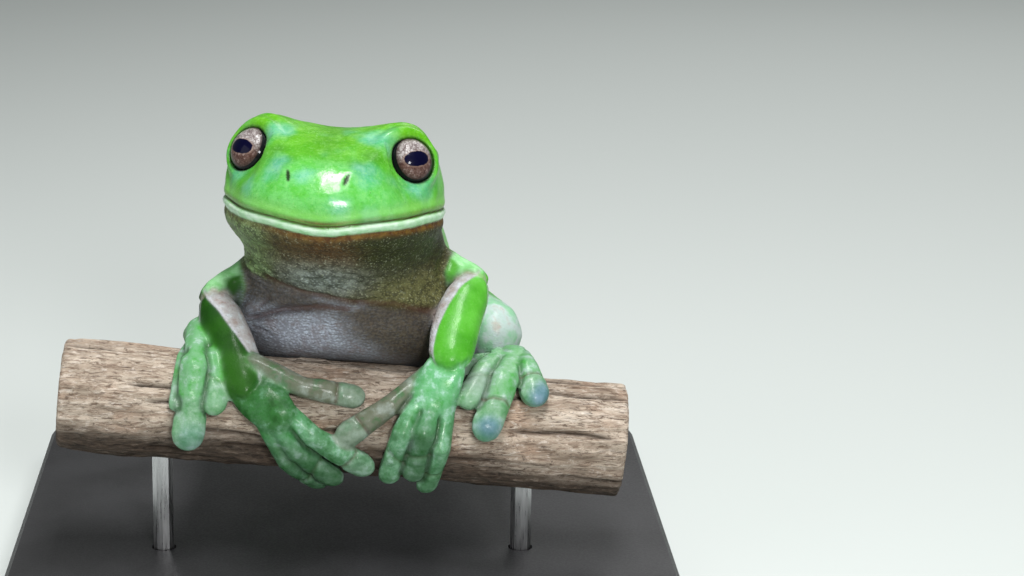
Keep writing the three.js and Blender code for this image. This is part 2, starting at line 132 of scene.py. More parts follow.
def look(side, outward, upward):
    """The way out of an eye and two ways square to it, from its angles in degrees in the head's frame."""
    out, up = math.radians(outward), math.radians(upward)
    aside, ahead = SIDES[side] * math.sin(out), -math.cos(out)
    gaze = np.array([aside * math.cos(up), ahead * math.cos(up), math.sin(up)]) @ HEAD_AXES
    level = unit(np.cross([0, 0, 1], gaze))
    return gaze, level, np.cross(gaze, level)


# ---- curves of value

def ease(low, high, value):
    t = np.clip((value - low) / (high - low), 0, 1)
    return t * t * (3 - 2 * t)


def bell(value, width):
    return np.exp(-((value / width) ** 2))


def noise(points, size, seed):
    """Smooth chance values from -1 to 1, with a blob about every size millimetres."""
    place = points / size + 11.7 * seed
    cell = np.floor(place).astype(np.int64)
    part = place - cell
    eased = part * part * (3 - 2 * part)
    total = np.zeros(len(points))
    for corner in np.ndindex(2, 2, 2):
        key = (cell + corner) @ np.array([73856093, 19349663, 83492791]) + 7919 * seed
        key = (key ^ (key >> 13)) * 1274126177 & 0x7FFFFFFF
        key = (key ^ (key >> 11)) * 668265263 & 0x7FFFFFFF
        weight = np.where(corner, eased, 1 - eased).prod(1)
        total += weight * (key / 0x3FFFFFFF - 1)
    return total


def line_distance(points, path):
    """How far each point is from a line through the places of a path, and how far along it is nearest."""
    best = np.full(len(points), 1e9)
    along = np.zeros(len(points))
    path = np.asarray(path, float)
    for i in range(len(path) - 1):
        step = path[i + 1] - path[i]
        t = np.clip((points - path[i]) @ step / (step @ step), 0, 1)
        far = np.linalg.norm(points - path[i] - t[:, None] * step, axis=1)
        near = far < best
        best = np.where(near, far, best)
        along = np.where(near, (i + t) / (len(path) - 1), along)
    return best, along


# ---- distance fields

SPACING = vdb.createLinearTransform(voxelSize=VOXEL)


@cache
def node_mesh(name):
    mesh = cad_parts[name].data
    points = np.empty(len(mesh.vertices) * 3, np.float32)
    mesh.vertices.foreach_get("co", points)
    mesh.calc_loop_triangles()
    triangles = np.empty(len(mesh.loop_triangles) * 3, np.int32)
    mesh.loop_triangles.foreach_get("vertices", triangles)
    return points.reshape(-1, 3) / MM, triangles.reshape(-1, 3).astype(np.uint32)


@cache
def grid_of(name):
    points, triangles = node_mesh(name)
    make = vdb.FloatGrid.createLevelSetFromPolygons
    return make(points, triangles=triangles, transform=SPACING, halfWidth=REACH)


class Block:
    """A box of voxels round some nodes, and where its samples are."""

    def __init__(self, nodes, margin=4.5):
        corners = np.array([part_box(node) for node in nodes]) / MM
        low, high = corners[:, 0].min(0) - margin, corners[:, 1].max(0) + margin
        self.low = np.floor(low / VOXEL).astype(int)
        self.shape = tuple(np.ceil(high / VOXEL).astype(int) - self.low)

    def within(self, other):
        """The slices of another block's samples, and of this one's, where they share them."""
        start = np.maximum(self.low, other.low)
        stop = np.minimum(self.low + self.shape, other.low + other.shape)
        return (
            tuple(slice(a, b) for a, b in zip(start - block.low, stop - block.low))
            for block in (other, self)
        )

    def nodes(self, names):
        """How far each sample is outside the nearest of the nodes, less than nothing inside."""
        nearest = np.full(self.shape, REACH * VOXEL, np.float32)
        values = np.empty(self.shape, np.float32)
        for name in names:
            grid_of(name).copyToArray(values, ijk=tuple(int(i) for i in self.low))
            np.minimum(nearest, values, out=nearest)
        return nearest

    def offsets(self, origin):
        """x, y and z from origin to each sample, ready to be combined."""
        axes = [(np.arange(n) + l) * VOXEL - o for n, l, o in zip(self.shape, self.low, origin)]
        x, y, z = (a.astype(np.float32) for a in axes)
        return x[:, None, None], y[None, :, None], z[None, None, :]


def blurred(values, sigma):
    """The values smoothed by a bell of sigma millimetres."""
    spread = sigma / VOXEL
    reach = int(math.ceil(3 * spread))
    weights = np.exp(-0.5 * (np.arange(-reach, reach + 1) / spread) ** 2)
    weights = (weights / weights.sum()).astype(np.float32)
    for axis in range(3):
        pad = [(reach, reach) if a == axis else (0, 0) for a in range(3)]
        padded = np.pad(values, pad, mode="edge")
        total = np.zeros_like(values)
        for i, weight in enumerate(weights):
            cut = [slice(None)] * 3
            cut[axis] = slice(i, i + values.shape[axis])
            total += weight * padded[tuple(cut)]
        values = total
    return values


def melted(a, b, soft):
    """The union of two fields, rounded where they meet over soft millimetres."""
    mix = np.clip(1 - np.abs(a - b) / soft, 0, 1)
    return np.minimum(a, b) - mix * mix * soft / 4


def carved(a, b, soft):
    """Field a with b cut away, the edge rounded."""
    return -melted(-a, b, soft)


def sampled(values, block, points):
    """The field's value at each point, eased between its samples."""
    place = np.clip(points / VOXEL - block.low, 0, np.array(block.shape) - 1.001)
    cell = np.floor(place).astype(int)
    part = place - cell
    total = np.zeros(len(points))
    for corner in np.ndindex(2, 2, 2):
        i, j, k = (cell + corner).T
        total += np.where(corner, part, 1 - part).prod(1) * values[i, j, k]
    return total


def distance_to(names, points):
    """How far each point is outside the nearest of the nodes, up to the fields' reach."""
    block = Block(names)
    place = points / VOXEL - block.low
    inside = np.all((place >= 0) & (place <= np.array(block.shape) - 1), axis=1)
    far = np.full(len(points), REACH * VOXEL)
    far[inside] = sampled(block.nodes(names), block, points[inside])
    return far


# ---- the skin's field

whole = Block(FLESH_NODES)


def eye_offsets(block, side):
    x, y, z = block.offsets(EYES[side])
    return x, y, z, np.sqrt(x * x + y * y + z * z)


def body_field():
    """The head and trunk, smooth but for the fold between the throat and the chest."""
    solid = whole.nodes(HEAD_NODES + TRUNK_NODES)
    for side in SIDES:
        *_, far = eye_offsets(whole, side)
        solid = np.minimum(solid, far - EYE_RADIUS)
    smooth = blurred(solid, BLUR["body"])
    crisp = blurred(solid, BLUR["folds"])
    _, y, z = whole.offsets(PERCH_AT)
    folded = ease(6, 0, y) * ease(27, 24, z) * ease(12, 15, z)
    return smooth + (crisp - smooth) * folded


def limb_field(side, bones, digits, root_soft, body):
    """A limb melted onto the body: bones first, then its digits, then the joint with the body."""
    names = on(side, bones)
    block = Block(names + digits)
    first, rest = block.nodes(names[:1]), block.nodes(names[1:])
    limb = blurred(np.minimum(first, rest), BLUR["limb"])
    tips = blurred(block.nodes(digits), BLUR["digits"]) - 0.03
    near_root = np.clip((rest - first) / 2, 0, 1)
    limb = melted(limb, tips, 0.9)
    in_whole, in_block = block.within(whole)
    body[in_whole] = melted(body[in_whole], limb[in_block], 0.5 + root_soft * near_root[in_block])


def pads_field(skin):
    """Fingers and toes reach straight in to the bark that they press on."""
    block = Block(DIGITS)
    in_whole, in_block = block.within(whole)
    x, y, z = block.offsets(PERCH_AT)
    drop = z + x * math.tan(PERCH_SLOPE)
    far = np.sqrt(y * y + drop * drop) + 1e-3
    i, j, k = np.ogrid[tuple(slice(n) for n in block.shape)]
    j = np.clip(j + np.rint(PRESS / VOXEL * y / far).astype(int), 0, block.shape[1] - 1)
    k = np.clip(k + np.rint(PRESS / VOXEL * drop / far).astype(int), 0, block.shape[2] - 1)
    pressed = np.maximum(block.nodes(DIGITS)[i, j, k], block.nodes(["perch"]) - 0.6)
    skin[in_whole] = np.minimum(skin[in_whole], pressed[in_block])


def lid_edge(side, x, y, z, far):
    """Degrees outside the lids' oval opening, seen from the eyeball's middle."""
    ways = look(side, LIDS["outward"], LIDS["upward"])
    ahead, across, up = (x * v[0] + y * v[1] + z * v[2] for v in ways)
    angle = np.degrees(np.arccos(np.clip(ahead / np.maximum(far, 1e-3), -1, 1)))
    out = np.sqrt(across * across + up * up) + 1e-6
    return angle - 1 / np.sqrt((across / out / LIDS["wide"]) ** 2 + (up / out / LIDS["tall"]) ** 2)


def lid_field(skin, side):
    """Lids over the eyeball, open in a cone, with a rounded edge."""
    block = Block([f"eye_{side}"], 4)
    in_whole, in_block = block.within(whole)
    x, y, z, far = eye_offsets(block, side)
    opening = np.radians(lid_edge(side, x, y, z, far)) * np.minimum(far, 7)
    opening += 6 * ease(1.8, 3.8, far - EYE_RADIUS)
    shell = far - EYE_RADIUS - LIDS["thickness"]
    lids = melted(skin[in_whole], shell[in_block], 0.8)
    lids = carved(lids, opening[in_block], 0.8)
    skin[in_whole] = np.maximum(lids, (EYE_RADIUS + 0.06 + LIFT - far)[in_block])


def skin_field():
    skin = body_field()
    for side in SIDES:
        limb_field(side, ARM_NODES, FINGERS[side], 4.0, skin)
        limb_field(side, LEG_NODES, TOES[side], 1.6, skin)
    pads_field(skin)
    skin = blurred(skin, BLUR["skin"])
    for side in SIDES:
        lid_field(skin, side)
    return np.maximum(skin, LIFT + 0.04 - whole.nodes(["perch"]))


def largest_piece(points, faces):
    """Only the vertices and faces joined to the largest piece of the mesh."""
    label = np.arange(len(points))
    while True:
        lowest = label[faces].min(1)
        renewed = label.copy()
        for corner in range(faces.shape[1]):
            np.minimum.at(renewed, faces[:, corner], lowest)
        renewed = renewed[renewed]
        if np.array_equal(renewed, label):
            break
        label = renewed
    keep = label == np.bincount(label).argmax()
    number = np.cumsum(keep) - 1
    return points[keep], number[faces[keep[faces[:, 0]]]]


def skin_surface():
    grid = vdb.FloatGrid(REACH * VOXEL)
    grid.transform = SPACING
    grid.copyFromArray(skin_field(), ijk=tuple(int(i) for i in whole.low))
    points, quads = grid.convertToQuads(isovalue=LIFT)
    return largest_piece(points.astype(float), quads.astype(np.int64))


def face_ways(points, quads):
    """A vector square to each face, as long as twice its area."""
    a, b, c, d = (points[quads[:, i]] for i in range(4))
    return np.cross(c - a, d - b)


def normals_of(points, quads):
    """The normals at the vertices."""
    across = face_ways(points, quads)
    total = np.zeros_like(points)
    for i in range(4):
        np.add.at(total, quads[:, i], across)
    return total / np.maximum(np.linalg.norm(total, axis=1), 1e-9)[:, None]


# ---- sculpted detail

# The fold from the right armpit, and the one under the throat, in the body's frame.
THROAT_FOLDS = [
    [(-14.2, 4.4, 14.6), (-13.1, 1.9, 15.0), (-8.9, -1.2, 16.8), (-3.4, -4.0, 18.0), (1.5, -4.2, 18.2)],
    [
        (-11, 0.2, 21.6), (-4.9, -3.9, 20.2), (0, -5.2, 19.6),
        (3.9, -3.8, 18.9), (8.1, -2, 18.4), (12.7, 2, 16.6),
    ],
]

# Short creases that fan out from the right armpit over the chest.
PUCKERS = [
    ((-13.6, 3.4, 15.6), (-9.6, -0.6, 19.0)),
    ((-13.6, 3.2, 14.8), (-8.2, -1.6, 15.2)),
    ((-13.4, 3.4, 13.8), (-9.6, -1.0, 12.2)),
]

# Ridges and hollows on both sides of the face: how high, how wide, and the line that each follows.
FACE_LINES = [
    (0.30, 1.2, [(5.0, -11.4, 0.1), (7.4, -7.6, 1.5), (8.8, -4.4, 2.6)]),  # from eye to nostril
    (-0.32, 1.8, [(6.2, -11.0, -2.4), (9.6, -7.0, -2.2)]),  # under that ridge
    (0.45, 2.4, [(10.6, -1.6, 4.6), (11.4, 3.0, 4.8)]),  # over the eye
    (-0.30, 2.2, [(6.4, -3.0, 4.2), (6.2, 5.0, 4.8)]),  # beside the crown
]

# The fold over the eardrum and the furrow under it, and where along them they begin to fade.
EAR_FOLDS = [
    (
        0.62, 1.1, 0.75,
        [(13.6, 4.8, 1), (14.8, 8.2, 0.4), (14.8, 11.6, -1.2), (13.2, 14.6, -4.2), (12.6, 16, -8)],
    ),
    (-0.30, 0.5, 0.70, [(13.8, 5.2, -0.9), (15.2, 8.6, -1.4), (15.2, 11.2, -2.9), (13.8, 13.4, -5.6)]),
]

JOINT_CREASES = [  # the two parts that meet, and how deep the crease is
    ("forearm", "hand", 0.3),
    ("upper_arm", "forearm", 0.4),
    ("shank", "tarsus", 0.2),
    ("tarsus", "foot", 0.2),
]


class Places:
    """Where each vertex of the skin is, in every frame that a detail is laid out in."""

    def __init__(self, points, normals):
        self.points = points
        self.normals = normals
        self.head = (points - HEAD_AT) @ HEAD_AXES.T
        self.mirrored = self.head.copy()
        self.mirrored[:, 0] = np.abs(self.head[:, 0])
        self.body = (points - PERCH_AT) @ TRUNK_AXES.T
        self.blotch = noise(points, 3.2, 21)
        self.fine = noise(points, 1.1, 22)
        groups = {name: [name] for name in HEAD_NODES + TRUNK_NODES}
        for name in ARM_NODES + LEG_NODES:
            groups[name] = [f"{name}_{side}" for side in SIDES]
        groups["finger"] = FINGERS["l"] + FINGERS["r"]
        groups["toe"] = TOES["l"] + TOES["r"]
        nearness = {name: np.exp(-distance_to(nodes, points) / 0.55) for name, nodes in groups.items()}
        total = sum(nearness.values())
        self.part = {name: near / total for name, near in nearness.items()}
        self.out_of_bark = (normals * bark_out(points)).sum(1)

    def of(self, *names):
        """How much of a vertex belongs to the named parts, from 0 to 1."""
        return sum(self.part[name] for name in names)

    def sharpen(self):
        """Make the borders between the parts half as wide."""
        squares = {name: share**2 for name, share in self.part.items()}
        total = sum(squares.values())
        self.part = {name: square / total for name, square in squares.items()}

    @cache
    def far_from(self, *nodes):
        """How far each vertex is outside the nearest of the nodes."""
        return distance_to(nodes, self.points)


def mouth_height(x, y):
    """The mouth line's height across and along the head."""
    share = np.clip((y + 12) / 18.5, 0, 1)
    beside = (1 - bell(x - 1.6, np.where(x > 1.6, 5.2, 6.5))) * (1 - 0.8 * ease(-5, 6, y))
    return MOUTH["height"] + MOUTH["rise"] * share**2 + beside


def below_mouth(at):
    """How far each vertex is above the mouth line, and how much it is where there is a mouth."""
    x, y, z = at.head.T
    there = ease(7.4, 5.6, y) * at.of("head", "lower_jaw", "throat")
    return z - mouth_height(x, y), there


def sculpt_mouth(at):
    above, there = below_mouth(at)
    lips = 0.16 * bell(above - 0.85, 0.55) + 0.24 * bell(above + 0.7, 0.45)
    return there * (lips - 0.38 * bell(above, 0.17) - 0.2 * bell(above + 1.6, 0.45))


def nostril_at(at):
    """How far each vertex is aside from and above the middle of a nostril, and how much it is in front."""
    in_front = ease(-9, -10.5, at.head[:, 1])
    return at.mirrored[:, 0] - NOSTRIL["aside"], at.head[:, 2] - NOSTRIL["height"], in_front


def sculpt_nostrils(at):
    """A low swelling round each nostril, sunk along a leaning slit."""
    aside, above, in_front = nostril_at(at)
    sine, cosine = math.sin(NOSTRIL["lean"]), math.cos(NOSTRIL["lean"])
    slit = np.hypot((aside * cosine - above * sine) / 0.5, aside * sine + above * cosine)
    return in_front * 0.1 * (bell(np.hypot(aside, above), 2.4) - bell(slit, 0.8))


def sculpt_face(at):
    """The ridge from the eye to the nostril, the brow, the eardrum and the fold over it."""
    x, y, z = at.mirrored.T
    lift = np.zeros(len(x))
    for height, width, path in FACE_LINES:
        lift += height * bell(line_distance(at.mirrored, path)[0], width)
    drum = np.hypot(y - 9.6, z + 3.9)
    rim = 0.22 * bell(drum - 2.15, 0.4)
    lift += ease(9, 11, x) * (rim - 0.2 * ease(2.2, 1.7, drum) + 0.1 * bell(drum, 0.7))
    for height, width, fade, path in EAR_FOLDS:
        far, along = line_distance(at.mirrored, path)
        lift += height * bell(far, width) * ease(1, fade, along)
    return lift * at.of("head", "lower_jaw", "throat", "trunk", "upper_arm")


def lids_at(at, side):
    """Degrees outside the lids' opening, how far from the eyeball's middle a vertex is, and which way."""
    reach = at.points - EYES[side]
    far = np.linalg.norm(reach, axis=1)
    return lid_edge(side, *reach.T, far), far, reach @ HEAD_AXES.T


def sculpt_lids(at):
    """Swollen lids with a soft ring-shaped furrow round them."""
    lift = np.zeros(len(at.points))
    for side in SIDES:
        edge, far, reach = lids_at(at, side)
        inner = ease(1.5, -2.0, reach[:, 0] * SIDES[side]) * ease(-3, 1, reach[:, 2])
        under = ease(0.5, -2.5, reach[:, 2]) * ease(2.5, 0, reach[:, 1])
        rings = 0.10 * bell(edge - 5, 4) - (0.20 * inner + 0.12 * under) * bell(edge - 17, 4.5)
        rings += (0.12 * inner + 0.06 * under) * bell(edge - 27, 5) - inner * 0.1 * bell(edge - 38, 5)
        lift += ease(9.0, 6.2, far) * rings
    return lift * at.of("head")


def throat_bottom(x):
    """The height of the fold where the throat meets the chest, across the body."""
    return 19.4 - 0.2 * np.maximum(x, 0) + 0.17 * np.maximum(-x - 1, 0)


def chest_line(at, path):
    """How far a vertex is from a line drawn on the chest, hardly minding how far forward it is."""
    flat = np.array([1, 0.12, 1])
    return line_distance(at.body * flat, np.array(path) * flat)


def sculpt_throat(at):
    """Loose rows of skin low on the throat, and the puckers where it meets the chest and arms."""
    x, y, z = at.body.T
    throat = at.of("throat", "lower_jaw")
    chest = at.of("trunk") * ease(9, 4, y)
    here = chest + throat
    warp = 0.9 * noise(at.points, 5.0, 3) + 0.35 * noise(at.points, 1.6, 4)
    rows = np.sin((z + 0.12 * x + warp) * 2 * math.pi / 1.25)
    lift = 0.13 * rows * ease(26.2, 23.5, z) * ease(17.5, 20, z) * here
    lift += (0.07 * throat + 0.03 * chest) * noise(at.points * [0.7, 0.7, 1.0], 0.6, 6)
    fold, along = chest_line(at, THROAT_FOLDS[0])
    lift += here * (0.4 * bell(fold - 1.3, 0.7) - 1.1 * bell(fold, 0.42)) * ease(1.0, 0.45, along)
    fold, along = chest_line(at, THROAT_FOLDS[1])
    lift += here * (0.25 * bell(fold - 1.2, 0.7) - 0.5 * bell(fold, 0.45)) * (0.5 + 0.5 * along)
    for path in PUCKERS:
        pucker, along = chest_line(at, path)
        lift -= here * 0.6 * bell(pucker, 0.32) * ease(1, 0.4, along)
    return lift


def sculpt_joints(at):
    """Creases across the skin where a joint bends."""
    lift = np.zeros(len(at.points))
    for upper, lower, depth in JOINT_CREASES:
        here = at.of(upper, lower)
        balance = (at.part[lower] - at.part[upper]) / np.maximum(here, 1e-6)
        lift -= depth * bell(balance, 0.35) * here**2
    return lift


@cache
def digit_tips():
    """Each digit's name, its tip and the way it points."""
    tips = []
    for side in SIDES:
        for base, names in (("hand", FINGERS[side]), ("foot", TOES[side])):
            for name in names:
                points, _ = node_mesh(name)
                tip = points[far_off(points, middle(f"{base}_{side}")).argmax()].astype(float)
                near = points[far_off(points, tip) < 5]
                tips.append((name, tip, unit(tip - near.mean(0))))
    return tips


def sculpt_digits(at):
    """A crease behind each disc, a groove round its edge and soft swellings at the joints."""
    lift = np.zeros(len(at.points))
    top = ease(0.1, 0.6, at.out_of_bark)
    for name, tip, way in digit_tips():
        mine = ease(0.6, 0.2, at.far_from(name)) * ease(9, 6, far_off(at.points, tip))
        back = (tip - at.points) @ way
        groove = -0.14 * bell(at.out_of_bark - 0.05, 0.16) * ease(3.8, 3.0, back)
        crease = -0.28 * bell(back - CREASE_BACK, 0.28) * top
        swell = 0.1 * bell(back - 6.8, 1.0) + 0.08 * bell(back - 3.4, 0.5) * top
        lift += mine * (groove + crease + swell)
    return lift * at.of("finger", "toe") - 0.5 * between_digits(at)


def between_digits(at):
    """How much each vertex lies in the furrow between two digits side by side."""
    furrow = np.zeros(len(at.points))
    for names in (*FINGERS.values(), *TOES.values()):
        far = np.sort([at.far_from(name) for name in names], axis=0)
        furrow = np.maximum(furrow, bell(far[1] - far[0], 0.45) * ease(1.3, 0.4, far[1]))
    tip_far = np.min([far_off(at.points, tip) for _, tip, _ in digit_tips()], axis=0)
    return furrow * ease(0.2, 0.6, at.of("finger", "toe")) * (0.25 + 0.75 * ease(9, 6, tip_far))


def bark_out(points):
    """The way straight out of the branch at each point."""
    reach = points - PERCH_AT
    reach = reach - (reach @ ALONG_PERCH)[:, None] * ALONG_PERCH
    return reach / np.maximum(np.linalg.norm(reach, axis=1), 1e-6)[:, None]


def sculpted(at):
    """The skin's points, moved along their normals by every detail."""
    details = (sculpt_mouth, sculpt_nostrils, sculpt_face, sculpt_lids)
    details += (sculpt_throat, sculpt_joints, sculpt_digits)
    lift = sum(detail(at) for detail in details)
    lift += 0.05 * noise(at.points, 2.6, 8) + 0.02 * noise(at.points, 0.9, 9)
    return at.points + at.normals * lift[:, None]


# ---- markings

FLATS = [(7.0, -10.4, -0.4), (9.6, -8.6, -3.4), (7.2, -3.4, 4.2), (12.4, -3.2, -3.8)]  # bluish, both sides
WASHES = [(-1.8, -12.6, -0.8), (3.4, -14.4, -4.7), (7.4, -12.4, -5.4)]  # bluish, on the snout
# Painted shade beside the ridge from the eye to the nostril, on both sides.
DUSKY = [(5.6, -10.2, 1.2), (7.0, -7.4, 2.2)]
WET = [(1.8, -12.2, -0.1), (0.6, -13.8, -2.6), (4.0, -14.6, -4.3)]
WET_BROW = [(7.5, -4.2, 3.7)]


def spots(points, places, width):
    """The strongest of round soft spots at the places."""
    return np.max([bell(far_off(points, place), width) for place in places], axis=0)


def mark_trunk(at, m):
    """The pale underside, and the colours of the throat and chest, with painted shadow and a painted
    highlight on the chest.
    """
    x, y, z = at.body.T
    hx, hy, hz = at.head.T
    trunk = at.of("trunk", "pelvis")
    above, _ = below_mouth(at)
    sides = ease(88, 72, np.degrees(np.arctan2(np.abs(x - 0.02 * y), 17 - z)) + 5 * at.blotch)
    under = ease(-0.1, -0.5, at.normals[:, 2] + 0.1 * at.blotch)
    front = ease(13, 8, y) * ease(28, 23, z)
    belly = np.maximum(sides + (under - sides) * ease(22, 32, y), front) * trunk
    jaw = ease(-1.2, -1.6, above) * at.of("lower_jaw", "throat", "head", "trunk")
    jaw *= ease(12.5, 8, hy + 2 * at.blotch)
    m.pale = np.maximum(belly, jaw)
    m.throat = jaw * ease(-0.7, 0.7, z - throat_bottom(x) + 0.3 * at.fine)
    m.warm = m.throat * bell(np.hypot((hx - 1.5) / 7.5, (hz + 11.6) / 2.6), 1.0)
    m.bluish = m.throat * bell(np.hypot((x + 2.5) / 7.5, (z - 22.6) / 2.8), 1.0)
    m.green_throat = m.throat * ease(-5, -11, hx + 1.5 * at.blotch)
    m.dark_throat = m.throat * ease(2, 10, hx + 2 * at.blotch) * ease(21, 26, z)
    m.yellow_throat = m.throat * ease(2, 8, x + 2 * at.blotch) * ease(24, 20.5, z)
    # Partly the skin's own brown, partly painted shadow of the head and throat: the chest is painted browner
    # towards the frog's left and high up under the throat.
    left = ease(-2.5, 5.5, x + 1.1 * (z - 15) + 1.2 * at.blotch)
    m.chest_brown = trunk * np.maximum(left, 0.8 * ease(16.4, 18.2, z + 0.4 * at.blotch))
    # Partly its own pale lavender, partly a painted highlight: a lighter patch low on the chest's right.
    m.chest_white = trunk * bell(np.hypot((x + 5.5) / 7.5, (z - 12.8) / 3.8), 1.0)

    # Painted shade along the folds and puckers of the throat and chest.
    in_front = ease(9, 5, y)
    folds = np.min([chest_line(at, path)[0] for path in THROAT_FOLDS], axis=0)
    m.crease = 1.4 * bell(folds, 0.4) * at.of("trunk", "throat") * in_front
    for path in PUCKERS:
        far, along = chest_line(at, path)
        pucker = 1.2 * bell(far, 0.26) * ease(1, 0.4, along) * trunk * in_front
        m.crease = np.maximum(m.crease, pucker)


def mark_face(at, m):
    """The lips, nostrils, lids' edges and the patches of the head, with painted shade in the nostrils, the
    mouth's line, the lids' edges and the head's dips, and a painted highlight on the lower lip.
    """
    hx, hy, hz = at.head.T
    head = at.of("head")
    above, mouth = below_mouth(at)
    m.lip = mouth * ease(-1.5, -1.15, above + 0.1 * at.fine) * ease(-0.15, -0.35, above)
    # Painted shade along the crease between the lips.
    m.line = mouth * bell(above - 0.04, 0.2)
    m.upper_lip = mouth * bell(above - 1.3, 0.9)
    # Painted highlight along the top of the lower lip.
    m.lip_glint = mouth * bell(above + 0.45, 0.22) * (0.4 + 0.6 * ease(-0.2, 0.5, at.blotch))
    under_lip = bell(above + 1.8, 0.5) * (0.3 + 0.7 * ease(-8, 0, hx + 1.5 * at.fine))
    over_line = bell(above - 0.55, 0.32) * (0.35 + 0.65 * bell(hx - 1, 4))
    m.brown = mouth * np.maximum(under_lip, over_line)
    # Painted shade inside the nostrils.
    aside, rise, in_front = nostril_at(at)
    slit = np.hypot((aside - NOSTRIL["lean"] * rise) / 0.52, rise)
    m.dark = ease(0.85, 0.5, slit) * in_front
    # Painted shade in the gap between the lids and the eyeball, wider on the lower and inner side.
    for side in SIDES:
        gap, far, reach = lids_at(at, side)
        lower = np.maximum(ease(0.5, -3, reach[:, 2]), ease(0.5, -3, reach[:, 0] * SIDES[side]))
        close = ease(0.15, -0.15, far - EYE_RADIUS - 0.22 - 0.2 * lower)
        m.dark = np.maximum(m.dark, ease(3, 0.5, gap) * close)
    m.crown = head * ease(-0.5, 3.6, hz + 0.8 * at.blotch) * ease(-12.5, -8, hy + at.fine)
    m.snout = head * ease(-8.5, -11.5, hy) * ease(2.5, 0.5, hz)
    flats = np.maximum(spots(at.mirrored, FLATS, 3.0), 1.1 * spots(at.head, WASHES, 2.0))
    m.cyan = head * ease(0.0, 1.3, flats + 0.5 * at.blotch + 0.25 * at.fine)
    # Painted shade beside the ridges from eye to nostril and in the dip between the eyes.
    m.dusk = head * (spots(at.mirrored, DUSKY, 1.5) + 0.5 * bell(np.hypot(hx - 0.5, hz - 3.2), 2.4))
    m.wet = head * np.maximum(spots(at.head, WET, 2.1), 0.35 * spots(at.head, WET_BROW, 2.4))


def mark_forearm(at, m, side):
    """A forearm's pale inner side, and the pale line round the green panel on its front."""
    points, _ = node_mesh(f"forearm_{side}")
    centre = points.mean(0)
    way = np.linalg.svd(points - centre, full_matrices=False)[2][0].astype(float)
    way *= np.sign(way @ (middle(f"hand_{side}") - centre))
    ends = (points - centre) @ way
    along = (at.points - centre) @ way
    share = (along - ends.min()) / (ends.max() - ends.min())
    spoke = at.points - centre - along[:, None] * way
    face = np.array(PANELS[side]["faces"])
    face = unit(face - (face @ way) * way)
    inward = np.cross(way, face)
    inward *= -SIDES[side] * np.sign(inward[0])
    angle = np.degrees(np.arctan2(spoke @ inward, spoke @ face))
    top, bottom = PANELS[side]["inner"]
    opened = ease(-0.1, 0.3, share)
    inner = (top + (bottom - top) * ease(0.15, 0.8, share)) * opened - angle
    outer = PANELS[side]["outer"] * opened + angle
    inside = np.radians(np.minimum(inner, outer)) * np.linalg.norm(spoke, axis=1) + 0.08 * at.blotch
    mine = at.of("forearm") * (at.body[:, 0] * SIDES[side] > 0)
    pale = ease(0.14, -0.14, inside) * ease(-20, 0, angle) * ease(178, 160, angle)
    m.pink = m.pink + mine * pale * ease(0.98, 0.86, share)
    m.edge = m.edge + mine * bell(inside + 0.2, 0.26)


def mark_limbs(at, m):
    """Pale edges along the arms and legs, pale knees, painted shade on the right arm and a painted highlight
    on the upper arms' tops.
    """
    finger = at.of("finger")
    upward = at.normals[:, 2]
    m.pink = m.edge = 0
    for side in SIDES:
        mark_forearm(at, m, side)
    under = ease(0.1, -0.35, upward + 0.1 * at.blotch)
    m.pale = m.pale + m.pink + under * at.of("thigh", "shank", "tarsus") + 0.5 * under * at.of("upper_arm")
    foot_spot = bell(far_off(at.points - PERCH_AT, [19.6, -4.4, 6.4]), 3.2)
    m.pink = np.maximum(m.pink, 0.8 * foot_spot * at.of("foot", "toe"))
    m.knee = np.zeros(len(at.points))
    for side in SIDES:
        thigh, _ = node_mesh(f"thigh_{side}")
        front = thigh[thigh[:, 1] < thigh[:, 1].min() + 4].mean(0).astype(float)
        m.knee = np.maximum(m.knee, ease(11, 6.5, far_off(at.points, front) + at.blotch))
    m.knee = m.knee * at.of("thigh", "shank")
    # Painted highlight: the upper arms are painted a paler mint where they face up.
    m.glow = ease(0.50, 0.86, upward + 0.12 * at.blotch) * at.of("upper_arm")
    m.bend = ease(0.75, 1.0, 4 * at.part["forearm"] * at.part["upper_arm"])
    # Painted shade: the frog's right arm and hand are painted darker, except where they face straight up.
    right = ease(2, -2, at.body[:, 0])
    m.shaded = at.of("upper_arm", "forearm", "hand") * right * ease(1.0, 0.85, upward)
    m.thumb = finger * ease(0.9, 0.3, at.far_from("finger_l_1", "finger_r_1"))
    # Painted shadow: three fingers that lie in shadow are painted darker.
    m.sooty = finger * ease(0.9, 0.3, at.far_from("finger_r_3", "finger_r_4", "finger_l_3"))
    m.foot = at.of("foot", "toe", "tarsus")
    m.arm = at.of("upper_arm", "forearm")
    m.wet = np.maximum(m.wet, 0.16 * at.of("hand", "finger", "foot", "toe") + 0.1 * at.of("forearm"))


